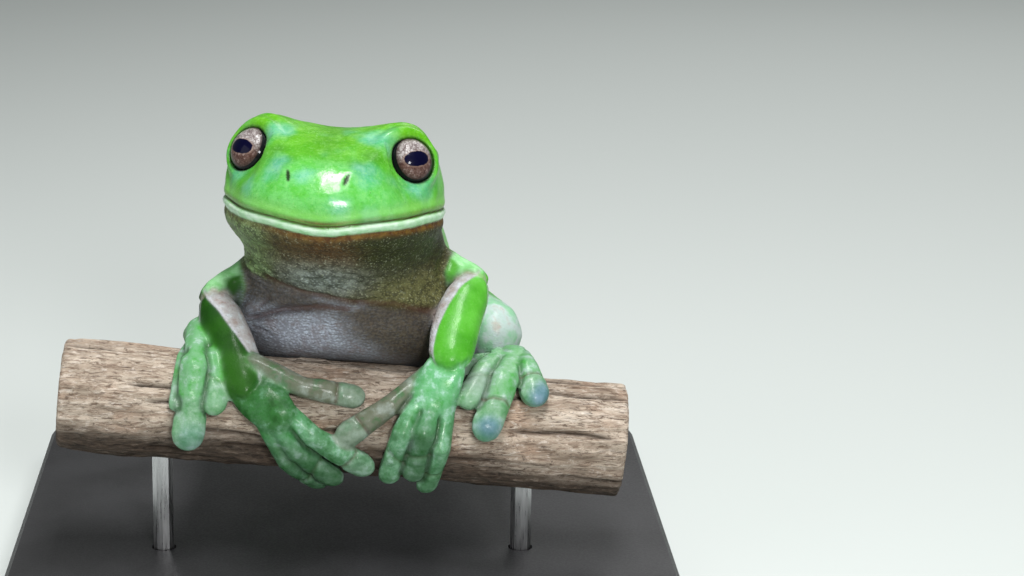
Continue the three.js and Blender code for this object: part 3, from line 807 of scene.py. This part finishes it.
def mark_digits(at, m):
    """The discs' paler and bluer tips, and painted shade in the creases behind them and in the furrows
    between the digits.
    """
    m.tips = m.blue = 0
    top = ease(0.0, 0.5, at.out_of_bark)
    for name, tip, way in digit_tips():
        mine = ease(0.9, 0.3, at.far_from(name))
        near = mine * ease(8, 6, far_off(at.points, tip))
        back = (tip - at.points) @ way
        # Painted light: the discs' pale tips are full strength on the lit digits and weaker on the others.
        lit = 1.0 if name in CREASED or name in TOES["l"] + TOES["r"] else 0.3
        m.tips = np.maximum(m.tips, lit * near * ease(CREASE_BACK + 0.3, CREASE_BACK - 0.4, back))
        # Painted shade in the crease behind each disc, on its top side.
        marked = 1.0 if name in CREASED else 0.35
        m.crease = np.maximum(m.crease, marked * near * top * bell(back - CREASE_BACK, 0.24))
        reach = far_off(at.points - tip, [1.0, 0, 0.8]) + 0.8 * at.blotch
        m.blue = np.maximum(m.blue, BLUE_TIPS.get(name, 0) * mine * ease(3.4, 0.8, reach))
    # Painted shade between the digits.
    m.furrow = between_digits(at)


def markings(at):
    """How much each vertex has of each kind of skin, from 0 to 1, by name."""
    m = SimpleNamespace()
    finger, hand = at.of("finger") ** 0.35, at.of("hand") ** 0.35
    share = finger / (finger + hand + 1e-6)
    at.sharpen()
    m.finger, m.hand = at.of("hand", "finger") * share, at.of("hand", "finger") * (1 - share)
    for mark in (mark_trunk, mark_face, mark_limbs, mark_digits):
        mark(at, m)
    return vars(m)


def mesh_object(name, points, faces):
    """A smooth mesh of points in millimetres and faces, which come as arrays with a face to a row."""
    mesh = bpy.data.meshes.new(name)
    mesh.from_pydata(points * MM, [], [face for rows in faces for face in rows.tolist()])
    mesh.shade_smooth()
    mesh.validate()
    made = bpy.data.objects.new(name, mesh)
    bpy.context.scene.collection.objects.link(made)
    return made


def add_colours(mesh, name, *channels):
    """A colour at each vertex, of three channels from 0 to 1."""
    values = np.column_stack([*channels, np.ones(len(mesh.vertices))]).astype(np.float32)
    layer = mesh.attributes.new(name, "FLOAT_COLOR", "POINT")
    layer.data.foreach_set("color", np.clip(values, 0, 1).ravel())


# ---- material nodes

class Nodes:
    """A material's node tree, with short calls for the nodes it is made of."""

    def __init__(self, name):
        self.material = bpy.data.materials.new(name)
        self.material.use_nodes = True
        self.tree = self.material.node_tree
        self.shader = self.tree.nodes["Principled BSDF"]
        self.place = self.add("ShaderNodeTexCoord").outputs["Object"]

    def add(self, kind, **values):
        node = self.tree.nodes.new(kind)
        for name, value in values.items():
            setattr(node, name, value)
        return node

    def put(self, node, **values):
        """Set or link the sockets of a node."""
        for name, value in values.items():
            socket = node.inputs[name.replace("_", " ")]
            if isinstance(value, bpy.types.NodeSocket):
                self.tree.links.new(value, socket)
            elif socket.type == "RGBA":
                socket.default_value = (*value, 1)
            else:
                socket.default_value = value
        return node

    def set(self, **values):
        self.put(self.shader, **values)

    def math(self, operation, *values, clamp=False):
        node = self.add("ShaderNodeMath", operation=operation, use_clamp=clamp)
        for socket, value in zip(node.inputs, values):
            if isinstance(value, bpy.types.NodeSocket):
                self.tree.links.new(value, socket)
            else:
                socket.default_value = value
        return node.outputs[0]

    def times(self, *values):
        return reduce(lambda a, b: self.math("MULTIPLY", a, b), values)

    def most(self, *values):
        return reduce(lambda a, b: self.math("MAXIMUM", a, b), values)

    def ramp(self, value, *stops):
        """A smooth ramp through (position, grey or colour) stops."""
        node = self.add("ShaderNodeValToRGB")
        ramp = node.color_ramp
        ramp.interpolation = "EASE"
        while len(ramp.elements) < len(stops):
            ramp.elements.new(0.5)
        for element, (position, colour) in zip(ramp.elements, stops):
            element.position = position
            element.color = (*colour, 1) if isinstance(colour, tuple) else (colour, colour, colour, 1)
        return self.put(node, Fac=value).outputs[0]

    def between(self, value, first, second):
        """From the first to the second as a noise goes from its lows to its highs."""
        return self.ramp(value, (0.3, first), (0.7, second))

    def coats(self, colour, *coats):
        """The colour under coats of (share, strength, paint)."""
        for share, strength, paint in coats:
            node = self.add("ShaderNodeMix", data_type="RGBA")
            self.put(node, Factor=self.times(share, strength), A=colour, B=paint)
            colour = node.outputs["Result"]
        return colour

    def stretched(self, scale, turn=(0, 0, 0)):
        node = self.add("ShaderNodeMapping")
        return self.put(node, Scale=scale, Rotation=turn, Vector=self.place).outputs[0]

    def noise(self, size, detail=3, rough=0.5, where=None, twist=0):
        """Noise with blobs of about size millimetres."""
        node = self.add("ShaderNodeTexNoise")
        self.put(node, Vector=where or self.place, Scale=1 / (size * MM), Detail=detail)
        return self.put(node, Roughness=rough, Distortion=twist).outputs[0]

    def cells(self, size, feature="F1", where=None):
        node = self.add("ShaderNodeTexVoronoi", feature=feature)
        return self.put(node, Vector=where or self.place, Scale=1 / (size * MM)).outputs["Distance"]

    def rows(self, size, wander):
        """Level rows, size millimetres apart, that wander up and down: 0 between them, 1 on them."""
        split = self.put(self.add("ShaderNodeSeparateXYZ"), Vector=self.place)
        shift = self.times(self.noise(3.5, 4, 0.6), wander * MM)
        turns = self.times(self.math("ADD", split.outputs["Z"], shift), 2 * math.pi / (size * MM))
        return self.math("MULTIPLY_ADD", self.math("SINE", turns), 0.5, 0.5)

    def attribute(self, name, output="Color"):
        """The three channels of a vertex colour or vector."""
        found = self.add("ShaderNodeAttribute", attribute_name=name).outputs[output]
        return tuple(self.put(self.add("ShaderNodeSeparateColor"), Color=found).outputs)

    def bump(self, *layers):
        """Bumps of (height from 0 to 1, the millimetres that it stands for), each on the one before."""
        normal = None
        for height, depth in layers:
            node = self.put(self.add("ShaderNodeBump"), Strength=1, Distance=depth * MM, Height=height)
            if normal is not None:
                self.put(node, Normal=normal)
            normal = node.outputs[0]
        return normal


class SkinNodes(Nodes):
    """The skin's material, with its markings by name and the noises that its colours share."""

    def __init__(self, names):
        super().__init__("frog_skin")
        marks = sum((self.attribute(f"marks_{i}") for i in range(len(names) // 3)), ())
        self.mark = SimpleNamespace(**dict(zip(names, marks)))
        self.broad = self.noise(5.0, 2)
        self.medium = self.noise(1.6, 4, 0.6)
        self.fine = self.noise(0.45, 3, 0.6)
        self.tiny = self.noise(0.24, 2, 0.6)
        self.granule = self.cells(0.34, where=self.stretched((0.75, 0.75, 1)))
        self.ridges = self.rows(0.56, 3.0)

    def mottled(self, first, second):
        return self.between(self.medium, first, second)


def green_skin(n, m):
    return n.coats(
        n.ramp(n.broad, (0.3, (0.05, 0.3, 0.014)), (0.5, (0.078, 0.38, 0.024)), (0.7, (0.11, 0.46, 0.048))),
        (m.crown, 0.85, n.mottled((0.085, 0.35, 0.004), (0.14, 0.42, 0.012))),
        (m.snout, 0.75, n.mottled((0.09, 0.45, 0.055), (0.16, 0.56, 0.17))),
        # Painted shade: darker green in the head's dips.
        (m.dusk, 0.7, (0.035, 0.17, 0.012)),
        (m.cyan, 0.75, n.mottled((0.085, 0.42, 0.24), (0.2, 0.5, 0.44))),
        (n.ramp(n.medium, (0.45, 0), (0.8, 1)), 0.3, (0.19, 0.57, 0.1)),
        (n.ramp(n.fine, (0.5, 0), (0.75, 1)), 0.35, (0.26, 0.61, 0.17)),
        (n.ramp(n.fine, (0.3, 1), (0.45, 0)), 0.3, (0.03, 0.22, 0.012)),
        (m.arm, 0.6, n.between(n.broad, (0.05, 0.28, 0.012), (0.1, 0.42, 0.035))),
        # Painted shade: darker green on the right arm.
        (m.shaded, 0.97, n.between(n.broad, (0.005, 0.044, 0.001), (0.014, 0.082, 0.002))),
        # Painted highlight along the upper arms' tops.
        (m.glow, 0.85, n.mottled((0.19, 0.54, 0.18), (0.37, 0.72, 0.38))),
        (m.upper_lip, 0.55, (0.23, 0.56, 0.12)),
    )


def pale_skin(n, m):
    """The grey and lavender skin of the underside, finely ridged."""
    grooves = n.times(n.ramp(n.ridges, (0.1, 1), (0.5, 0)), n.ramp(n.medium, (0.4, 0), (0.6, 1)))
    return n.coats(
        n.mottled((0.16, 0.165, 0.185), (0.27, 0.31, 0.36)),
        # Own pale colour and a painted highlight.
        (m.chest_white, 0.9, n.mottled((0.42, 0.46, 0.55), (0.66, 0.74, 0.88))),
        (grooves, 0.5, (0.075, 0.055, 0.05)),
        (n.ramp(n.granule, (0.3, 0), (0.6, 1)), 0.4, (0.075, 0.06, 0.05)),
        (n.ramp(n.noise(2.6, 4, 0.65), (0.5, 0), (0.66, 1)), 0.35, (0.17, 0.115, 0.1)),
        # Own brown and painted shadow.
        (m.chest_brown, 0.85, n.ramp(n.fine, (0.35, (0.026, 0.017, 0.008)), (0.65, (0.075, 0.056, 0.03)))),
    )


def throat_skin(n, m):
    """Olive skin with a dark net and pale grains."""
    net = n.times(n.ramp(n.granule, (0.28, 0), (0.55, 1)), n.ramp(n.noise(1.1), (0.35, 0.35), (0.6, 1)))
    grains = n.times(n.ramp(n.granule, (0.08, 1), (0.26, 0)), n.ramp(n.noise(2.4, 2), (0.4, 0), (0.62, 1)))
    return n.coats(
        n.mottled((0.06, 0.05, 0.02), (0.125, 0.115, 0.052)),
        (m.warm, 0.75, (0.12, 0.048, 0.012)),
        (m.bluish, 0.75, n.mottled((0.16, 0.2, 0.17), (0.38, 0.46, 0.44))),
        (m.green_throat, 0.8, n.mottled((0.13, 0.2, 0.06), (0.32, 0.5, 0.22))),
        (m.dark_throat, 0.85, (0.026, 0.038, 0.007)),
        (m.yellow_throat, 0.7, (0.22, 0.22, 0.085)),
        (net, 0.65, (0.016, 0.015, 0.01)),
        (grains, 0.55, (0.46, 0.5, 0.34)),
        (n.ramp(n.fine, (0.58, 0), (0.72, 1)), 0.45, (0.42, 0.46, 0.32)),
    )


def paint_limbs(n, m, colour):
    """Minty hands and feet with painted shade on the right hand, fingers with grime and painted shadow on
    three of them, pale knees, discs and arm edges, and painted shade in the creases and between the digits.
    """
    mint = n.ramp(n.medium, (0.3, (0.065, 0.36, 0.085)), (0.5, (0.14, 0.44, 0.2)), (0.7, (0.42, 0.66, 0.57)))
    # Painted shade: a darker mint for the right hand.
    dark_mint = n.ramp(
        n.medium, (0.3, (0.004, 0.058, 0.002)), (0.55, (0.01, 0.105, 0.006)), (0.78, (0.075, 0.24, 0.11))
    )
    worn = n.between(n.fine, (0.1, 0.28, 0.13), (0.26, 0.44, 0.32))
    # The fingers' colour: grime and wear, with painted shadow on three of them.
    grimy = n.coats(
        n.ramp(n.medium, (0.28, (0.022, 0.06, 0.022)), (0.5, (0.06, 0.16, 0.07)), (0.72, (0.24, 0.38, 0.29))),
        (n.ramp(n.noise(2.2), (0.42, 0), (0.62, 1)), 0.75, worn),
        (m.sooty, 0.85, n.mottled((0.012, 0.03, 0.012), (0.05, 0.095, 0.05))),
    )
    thumb = n.ramp(
        n.noise(2.2, 4, 0.6), (0.3, (0.06, 0.12, 0.05)), (0.5, (0.14, 0.13, 0.1)), (0.7, (0.27, 0.28, 0.26))
    )
    foot = n.ramp(n.medium, (0.3, (0.07, 0.3, 0.07)), (0.5, (0.15, 0.36, 0.18)), (0.7, (0.34, 0.48, 0.42)))
    knee = n.ramp(
        n.noise(3.6, 4), (0.34, (0.46, 0.38, 0.37)), (0.46, (0.48, 0.56, 0.57)), (0.62, (0.26, 0.51, 0.33))
    )
    return n.coats(
        colour,
        (m.edge, 0.75, n.mottled((0.33, 0.34, 0.33), (0.58, 0.6, 0.66))),
        (n.math("ADD", m.hand, m.finger, clamp=True), 0.92, n.coats(mint, (m.shaded, 0.96, dark_mint))),
        (m.finger, 0.92, grimy),
        (m.thumb, 0.85, thumb),
        (m.foot, 0.9, foot),
        (m.tips, 0.5, n.mottled((0.1, 0.2, 0.12), (0.26, 0.38, 0.29))),
        (m.knee, 0.9, knee),
        (n.times(m.pink, m.foot), 0.75, (0.36, 0.37, 0.39)),
        (m.blue, 0.68, n.mottled((0.04, 0.1, 0.19), (0.085, 0.17, 0.3))),
        # Painted shade between the digits.
        (m.furrow, 0.7, (0.022, 0.045, 0.02)),
        # Painted shade in the creases of the chest and digits.
        (m.crease, 0.55, (0.075, 0.03, 0.018)),
        (m.bend, 0.3, (0.42, 0.36, 0.3)),
    )


def paint_face(n, m, colour):
    """Pale lips with painted shade along the line between them, painted shade in the nostrils and at the
    lids' edges, a painted highlight on the lower lip, and a few specks.
    """
    specks = n.times(n.ramp(n.cells(1.15), (0.05, 0.5), (0.13, 0)), n.ramp(n.fine, (0.5, 0), (0.62, 1)))
    return n.coats(
        colour,
        (m.brown, 0.85, n.ramp(n.medium, (0.35, (0.1, 0.035, 0.008)), (0.65, (0.22, 0.12, 0.022)))),
        (m.lip, 1, n.mottled((0.28, 0.57, 0.28), (0.5, 0.7, 0.52))),
        # Painted highlight on the lower lip.
        (m.lip_glint, 0.6, (0.74, 0.78, 0.74)),
        # Painted shade along the crease between the lips.
        (m.line, 0.95, (0.06, 0.024, 0.007)),
        # Painted shade in the nostrils and at the lids' edges.
        (m.dark, 0.92, (0.008, 0.01, 0.006)),
        (specks, 1, (0.02, 0.03, 0.01)),
    )


def skin_material(names):
    n = SkinNodes(names)
    m = n.mark
    pink = n.ramp(n.medium, (0.3, (0.34, 0.25, 0.22)), (0.5, (0.46, 0.44, 0.43)), (0.7, (0.6, 0.64, 0.66)))
    colour = n.coats(green_skin(n, m), (m.pale, 1, pale_skin(n, m)), (m.pink, 0.8, pink))
    colour = n.coats(colour, (m.throat, 1, throat_skin(n, m)))
    colour = paint_face(n, m, paint_limbs(n, m, colour))

    digits = n.times(n.math("ADD", m.finger, m.foot), 0.6)
    dull = n.most(m.pale, n.times(m.throat, 0.5), digits, n.times(m.knee, 0.7), m.shaded, n.times(m.arm, 0.5))
    rough = n.math("ADD", n.between(n.medium, 0.3, 0.42), n.times(dull, 0.22))
    rough = n.math("SUBTRACT", rough, n.times(m.wet, 0.12))
    ridged = n.times(n.ridges, n.math("SUBTRACT", m.pale, m.throat, clamp=True))
    grainy = n.math("MULTIPLY_ADD", n.most(m.throat, n.times(m.pale, 0.5)), 0.8, 0.2)
    pores = n.times(n.ramp(n.granule, (0, 1), (0.6, 0)), grainy)
    normal = n.bump((ridged, 0.025), (n.fine, 0.03), (n.tiny, 0.018), (pores, 0.09))
    n.set(Base_Color=colour, Roughness=rough, Normal=normal, Subsurface_Weight=0.05, Specular_IOR_Level=0.22)
    n.set(Subsurface_Radius=(0.9, 1.0, 0.5), Subsurface_Scale=0.0008, IOR=1.42)

    film = n.math("MULTIPLY_ADD", dull, -0.18, 0.2)
    beads = n.times(n.ramp(n.medium, (0.38, 0.1), (0.56, 0.9)), n.ramp(n.fine, (0.35, 0.4), (0.6, 1)))
    film = n.math("ADD", film, n.times(m.wet, beads), clamp=True)
    film = n.times(film, n.math("SUBTRACT", 1.0, m.dark, clamp=True))
    n.set(Coat_Weight=film, Coat_Roughness=0.19, Coat_IOR=1.7, Coat_Normal=n.bump((n.tiny, 0.016)))
    return n.material


def build_skin():
    points, quads = skin_surface()
    normals = normals_of(points, quads)
    if (face_ways(points, quads) * (points[quads[:, 0]] - HEAD_AT)).sum() < 0:
        quads, normals = quads[:, ::-1], -normals
    at = Places(points, normals)
    skin = mesh_object("frog_skin", sculpted(at), [quads])
    marks = markings(at)
    channels = list(marks.values())
    for i in range(len(channels) // 3):
        add_colours(skin.data, f"marks_{i}", *channels[3 * i : 3 * i + 3])
    skin.data.materials.append(skin_material(list(marks)))
    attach(skin, "root")
    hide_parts(*FLESH_NODES)
    print("skin", len(points), "vertices", len(quads) * 2, "triangles")


# ---- eyes

def build_eye(side):
    """An eyeball with a slight bulge over the iris, turned so that the pupil lies level."""
    gaze, level, rise = look(side, IRIS["outward"], IRIS["upward"])
    rings, around = 72, 96
    angles = np.arange(1, rings) * math.pi / rings
    turns = np.arange(around) * 2 * math.pi / around
    angle, turn = (a.ravel()[:, None] for a in np.meshgrid(angles, turns, indexing="ij"))
    angle = np.vstack([[[0]], angle, [[math.pi]]])
    turn = np.vstack([[[0]], turn, [[0]]])
    out = EYE_RADIUS + 0.10 * np.cos(np.minimum(angle * 1.9, math.pi / 2))
    aside = np.cos(turn) * level + np.sin(turn) * rise
    points = EYES[side] + out * (np.cos(angle) * gaze + np.sin(angle) * aside)
    ring = 1 + np.arange((rings - 1) * around).reshape(rings - 1, around)
    beside = np.roll(ring, -1, axis=1)
    sheet = np.stack([ring[:-1], ring[1:], beside[1:], beside[:-1]], axis=-1).reshape(-1, 4)
    front = np.stack([np.zeros(around, int), ring[0], beside[0]], axis=-1)
    back = np.stack([beside[-1], ring[-1], np.full(around, len(points) - 1)], axis=-1)
    eye = mesh_object(f"eyeball_{side}", points, [front, sheet, back])
    places = EYE_RADIUS * angle * np.hstack([np.cos(turn), np.sin(turn), 0 * turn])
    layer = eye.data.attributes.new("iris_place", "FLOAT_VECTOR", "POINT")
    layer.data.foreach_set("vector", places.astype(np.float32).ravel())
    eye.data.materials.append(eye_material())
    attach(eye, "root")
    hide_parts(f"eye_{side}")


@cache
def eye_material():
    n = Nodes("frog_eye")
    across, rise, _ = n.attribute("iris_place", "Vector")
    grainy = n.noise(0.5, 4, 0.65)

    def bowed(value, half, power):
        return n.math("POWER", n.math("ABSOLUTE", n.math("DIVIDE", value, half)), power)

    wide = bowed(across, IRIS["half_width"], 2.0)
    tall = bowed(n.math("SUBTRACT", rise, IRIS["raised"]), IRIS["half_height"], 2.0)
    out = n.math("SQRT", n.math("ADD", wide, tall))
    reach = n.math("ADD", bowed(across, PUPIL["half_width"], 2.2), bowed(rise, PUPIL["half_height"], 2.2))
    reach = n.math("ADD", reach, n.math("MULTIPLY_ADD", grainy, 0.5, -0.25))

    copper = n.ramp(
        grainy, (0.32, (0.05, 0.022, 0.018)), (0.5, (0.13, 0.07, 0.058)), (0.68, (0.3, 0.22, 0.21))
    )
    silver = n.ramp(grainy, (0.32, (0.17, 0.14, 0.14)), (0.66, (0.5, 0.47, 0.46)))
    veins = n.cells(0.42, "DISTANCE_TO_EDGE")
    outside = n.ramp(n.math("SUBTRACT", reach, 1.0), (0, 1), (0.55, 0))
    halo = n.times(n.ramp(reach, (0, 0), (0.5, 0), (1, 0.55)), outside)
    colour = n.coats(
        copper,
        (n.ramp(n.math("MULTIPLY_ADD", rise, 0.25, 0.5), (0.3, 0), (0.78, 0.9)), 1, silver),
        (n.ramp(veins, (0, 0.7), (0.13, 0)), 1, (0.05, 0.02, 0.016)),
        (halo, 1, (0.24, 0.16, 0.13)),
        (n.ramp(out, (0.76, 0), (0.98, 0.8)), 1, (0.035, 0.018, 0.015)),
        # Partly the eyeball's own dark colour, partly painted shade of the lids: the eyeball is near-black
        # round the iris.
        (n.ramp(out, (0.965, 0), (1.01, 1)), 1, (0.003, 0.004, 0.005)),
        (n.ramp(n.times(reach, 0.5), (0.44, 1), (0.53, 0)), 1, (0.001, 0.001, 0.016)),
    )
    n.set(Base_Color=colour, Roughness=n.between(grainy, 0.3, 0.42), Normal=n.bump((grainy, 0.02)))
    n.set(Coat_Weight=0.8, Coat_Roughness=0.03, Coat_IOR=1.25, IOR=1.33, Specular_IOR_Level=0.1)
    return n.material


# ---- branch and stand

def wood_material():
    """Grey-brown weathered wood with painted shade in its cracks, dark and rough below, where bark and
    painted shade darken it, with fresher sawn ends.
    """
    n = Nodes("dry_branch")

    def grain(size, detail, rough, stretch, twist):
        return n.noise(size, detail, rough, n.stretched((stretch, 1, 1), (0, PERCH_SLOPE, 0)), twist)

    fibre = grain(0.32, 6, 0.72, 0.13, 0.4)
    flake = grain(0.75, 5, 0.7, 0.4, 0.5)
    streak = grain(1.6, 4, 0.6, 0.07, 0.6)
    splinter = grain(0.55, 5, 0.75, 0.22, 0.8)
    low, sawn, crack = n.attribute("wood_zones")
    weathered = n.ramp(
        streak,
        (0.28, (0.3, 0.225, 0.165)),
        (0.45, (0.46, 0.37, 0.29)),
        (0.6, (0.62, 0.52, 0.42)),
        (0.75, (0.78, 0.69, 0.6)),
    )
    # Bark and painted shade: the underside is painted much darker, for bark left there and for the shade
    # below the branch.
    bark = n.ramp(flake, (0.35, (0.016, 0.011, 0.008)), (0.55, (0.06, 0.04, 0.028)), (0.7, (0.19, 0.14, 0.1)))
    colour = n.coats(
        weathered,
        (n.ramp(n.noise(7), (0.5, 0), (0.72, 1)), 0.55, (0.5, 0.32, 0.22)),
        (n.ramp(flake, (0.54, 0), (0.66, 1)), 0.75, (0.8, 0.71, 0.62)),
        (n.ramp(flake, (0.34, 1), (0.44, 0)), 0.8, (0.105, 0.07, 0.048)),
        (n.ramp(fibre, (0.36, 1), (0.47, 0)), 0.85, (0.085, 0.055, 0.038)),
        (n.ramp(splinter, (0.40, 1), (0.49, 0)), 0.62, (0.19, 0.125, 0.085)),
        (n.ramp(splinter, (0.58, 0), (0.68, 1)), 0.6, (0.86, 0.78, 0.7)),
        (low, 0.9, bark),
        # Painted shade in the cracks, also in the star-shaped cracks of the sawn ends.
        (crack, 0.9, (0.03, 0.018, 0.011)),
        (sawn, 1, n.between(fibre, (0.24, 0.16, 0.095), (0.5, 0.38, 0.26))),
    )
    normal = n.bump((streak, 0.3), (flake, 0.4), (fibre, 0.3))
    n.set(Base_Color=colour, Roughness=n.between(streak, 0.72, 0.92), Normal=normal, Specular_IOR_Level=0.3)
    return n.material


def build_branch():
    """The branch's bark-less surface with long fibres and cracks, and its sawn ends."""
    low, high = (np.array(v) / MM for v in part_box("perch"))
    tall = np.cross(ALONG_PERCH, [0, 1, 0])
    radius = (high[1] - low[1]) / 2
    length = (high[0] - low[0] - 2 * radius * math.sin(PERCH_SLOPE)) / math.cos(PERCH_SLOPE)
    step = 0.32
    rows, around = int(length / step), int(2 * math.pi * radius / step)
    turn = np.arange(around) * 2 * math.pi / around
    stations = np.linspace(-length / 2, length / 2, rows + 1)
    along, angle = (a.ravel() for a in np.meshgrid(stations, turn, indexing="ij"))
    up, aside = np.cos(angle), np.sin(angle)

    def grain(stretch, size, seed):
        """Noise drawn out along the wood."""
        return noise(np.column_stack([along * stretch, up * radius, aside * radius]), size, seed)

    crack = np.zeros_like(along)
    chance = np.random.default_rng(7)
    for _ in range(46):
        centre, where = chance.uniform(-length / 2, length / 2), chance.uniform(0, 2 * math.pi)
        reach, wide = chance.uniform(4, 13), chance.uniform(0.22, 0.42)
        sway = 0.25 * np.sin(along * chance.uniform(0.2, 0.5) + where)
        off = (np.angle(np.exp(1j * (angle - where))) * radius + sway) / wide
        crack = np.maximum(crack, bell(off, 1.0) * ease(1, 0.6, np.abs(along - centre) / reach))
    out = radius - 0.42 + 0.2 * grain(0.09, 0.8, 31) + 0.17 * grain(0.16, 0.5, 32) - 0.6 * crack
    out += 0.26 * ease(0.0, 0.18, grain(0.3, 1.7, 37)) + 0.22 * grain(0.5, 5.0, 33)
    edge = np.minimum(length / 2 - np.abs(along), 0.6)
    out -= 0.35 * (1 - edge / 0.6) ** 2
    spoke = up[:, None] * tall - aside[:, None] * [0, 1, 0]
    points = PERCH_AT + along[:, None] * ALONG_PERCH + out[:, None] * spoke
    low_down = ease(0.0, -0.55, up + 0.25 * grain(0.09, 2.2, 35))
    grid = np.arange(len(points)).reshape(rows + 1, around)
    beside = np.roll(grid, -1, axis=1)
    faces = [np.stack([grid[:-1], beside[:-1], beside[1:], grid[1:]], axis=-1).reshape(-1, 4)]
    zones = [np.column_stack([low_down, 0 * along, crack])]
    sheets = [points]
    count = len(points)
    for end, rim in ((-1, grid[0]), (1, grid[-1])):
        centre = PERCH_AT + end * length / 2 * ALONG_PERCH
        inner = rim
        for share in np.linspace(0.97, 0.06, 26):
            spoke = (points[rim] - centre) * share
            spoke = spoke - (spoke @ ALONG_PERCH)[:, None] * ALONG_PERCH
            wave = 0.07 * np.sin(share * radius * 2 * math.pi / 0.8) + 0.05 * noise(centre + spoke, 0.7, 36)
            star = bell(np.angle(np.exp(1j * (turn - 1.1 * end))) * radius * share, 0.22) * 0.6 * share
            sheets.append(centre + spoke + (end * (wave - star - 0.05))[:, None] * ALONG_PERCH)
            zones.append(np.column_stack([0 * turn, 0 * turn + 1, star]))
            fresh = np.arange(count, count + around)
            faces.append(np.stack([inner, np.roll(inner, -1), np.roll(fresh, -1), fresh], axis=-1)[:, ::end])
            inner = fresh
            count += around
        faces.append(inner[None, ::end])
    branch = mesh_object("branch", np.vstack(sheets), faces)
    add_colours(branch.data, "wood_zones", *np.vstack(zones).T)
    branch.data.materials.append(wood_material())
    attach(branch, "root")
    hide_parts("perch")


def repaint(node, material):
    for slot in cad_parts[node].material_slots:
        slot.material = material


def build_stand():
    """Dark speckled paint on the base, and brushed steel on the rods."""
    paint = Nodes("stand_paint")
    speckle = paint.noise(0.35)
    shade = paint.between(paint.noise(14), (0.02, 0.02, 0.021), (0.032, 0.032, 0.034))
    paint.set(Base_Color=shade, Roughness=paint.between(speckle, 0.38, 0.5))
    paint.set(Normal=paint.bump((speckle, 0.02)))
    repaint("stand_base", paint.material)
    steel = Nodes("brushed_rod")
    brushed = steel.noise(0.3, 4, 0.6, steel.stretched((1, 1, 0.06)))
    shade = steel.between(brushed, (0.42, 0.42, 0.43), (0.6, 0.6, 0.61))
    steel.set(Base_Color=shade, Roughness=steel.between(brushed, 0.24, 0.4), Metallic=1.0)
    steel.set(Normal=steel.bump((brushed, 0.01)))
    for side in SIDES:
        repaint(f"stand_rod_{side}", steel.material)


# ---- camera, light and floor

CAMERA = {"lens": 93.94, "shift": 0.166, "tilt": math.radians(15), "away": 0.4, "over_perch": 0.01931}
LAMPS = {  # where each is, how wide and long, and its power
    "key": ((0.034, -0.11, 0.50), (0.095, 0.37), 2.65),
    "front": ((0.11, -0.52, 0.24), (0.09, 0.09), 1.5),
    "fill": ((-0.5, -0.35, 0.25), (0.4, 0.4), 0.6),
    "rim": ((0.25, 0.5, 0.45), (0.3, 0.3), 0.9),
}


def add_object(name, data):
    made = bpy.data.objects.new(name, data)
    bpy.context.scene.collection.objects.link(made)
    return made


def build_camera():
    camera = bpy.data.cameras.new("camera")
    camera.sensor_width = 36
    camera.lens = CAMERA["lens"]
    camera.shift_x = CAMERA["shift"]
    seat = add_object("camera", camera)
    sine, cosine = math.sin(CAMERA["tilt"]), math.cos(CAMERA["tilt"])
    aim = Vector(PERCH_AT * MM) + Vector((0, sine, cosine)) * CAMERA["over_perch"]
    seat.location = aim + Vector((0, -cosine, sine)) * CAMERA["away"]
    seat.rotation_euler = (math.pi / 2 - CAMERA["tilt"], 0, 0)
    bpy.context.scene.camera = seat


def build_lamp(name, aim):
    """A rectangular lamp that faces its aim, its long side from front to back."""
    place, size, power = LAMPS[name]
    light = bpy.data.lights.new(name, "AREA")
    light.shape = "RECTANGLE"
    light.size, light.size_y = size
    light.energy = power
    lamp = add_object(name, light)
    lamp.location = place
    ahead = (aim - Vector(place)).normalized()
    along = (Vector((0, 1, 0)) - ahead * ahead.y).normalized()
    lamp.rotation_euler = Matrix((along.cross(-ahead), along, -ahead)).transposed().to_euler()


def build_studio():
    floor = bpy.data.meshes.new("floor")
    floor.from_pydata([(-3, -3, 0), (3, -3, 0), (3, 3, 0), (-3, 3, 0)], [], [(0, 1, 2, 3)])
    ground = add_object("floor", floor)
    n = Nodes("floor")
    n.set(Base_Color=(0.62, 0.66, 0.64), Roughness=0.8)
    floor.materials.append(n.material)
    world = bpy.data.worlds.new("studio")
    world.use_nodes = True
    sky = world.node_tree.nodes["Background"].inputs
    sky["Color"].default_value = (0.80, 0.84, 0.82, 1)
    sky["Strength"].default_value = 0.19
    bpy.context.scene.world = world
    for name in LAMPS:
        build_lamp(name, Vector(HEAD_AT * MM) - Vector((0, 0, 0.015)))
    bpy.context.scene.view_settings.view_transform = "Standard"


build_camera()
build_studio()
build_skin()
for side in SIDES:
    build_eye(side)
build_branch()
build_stand()
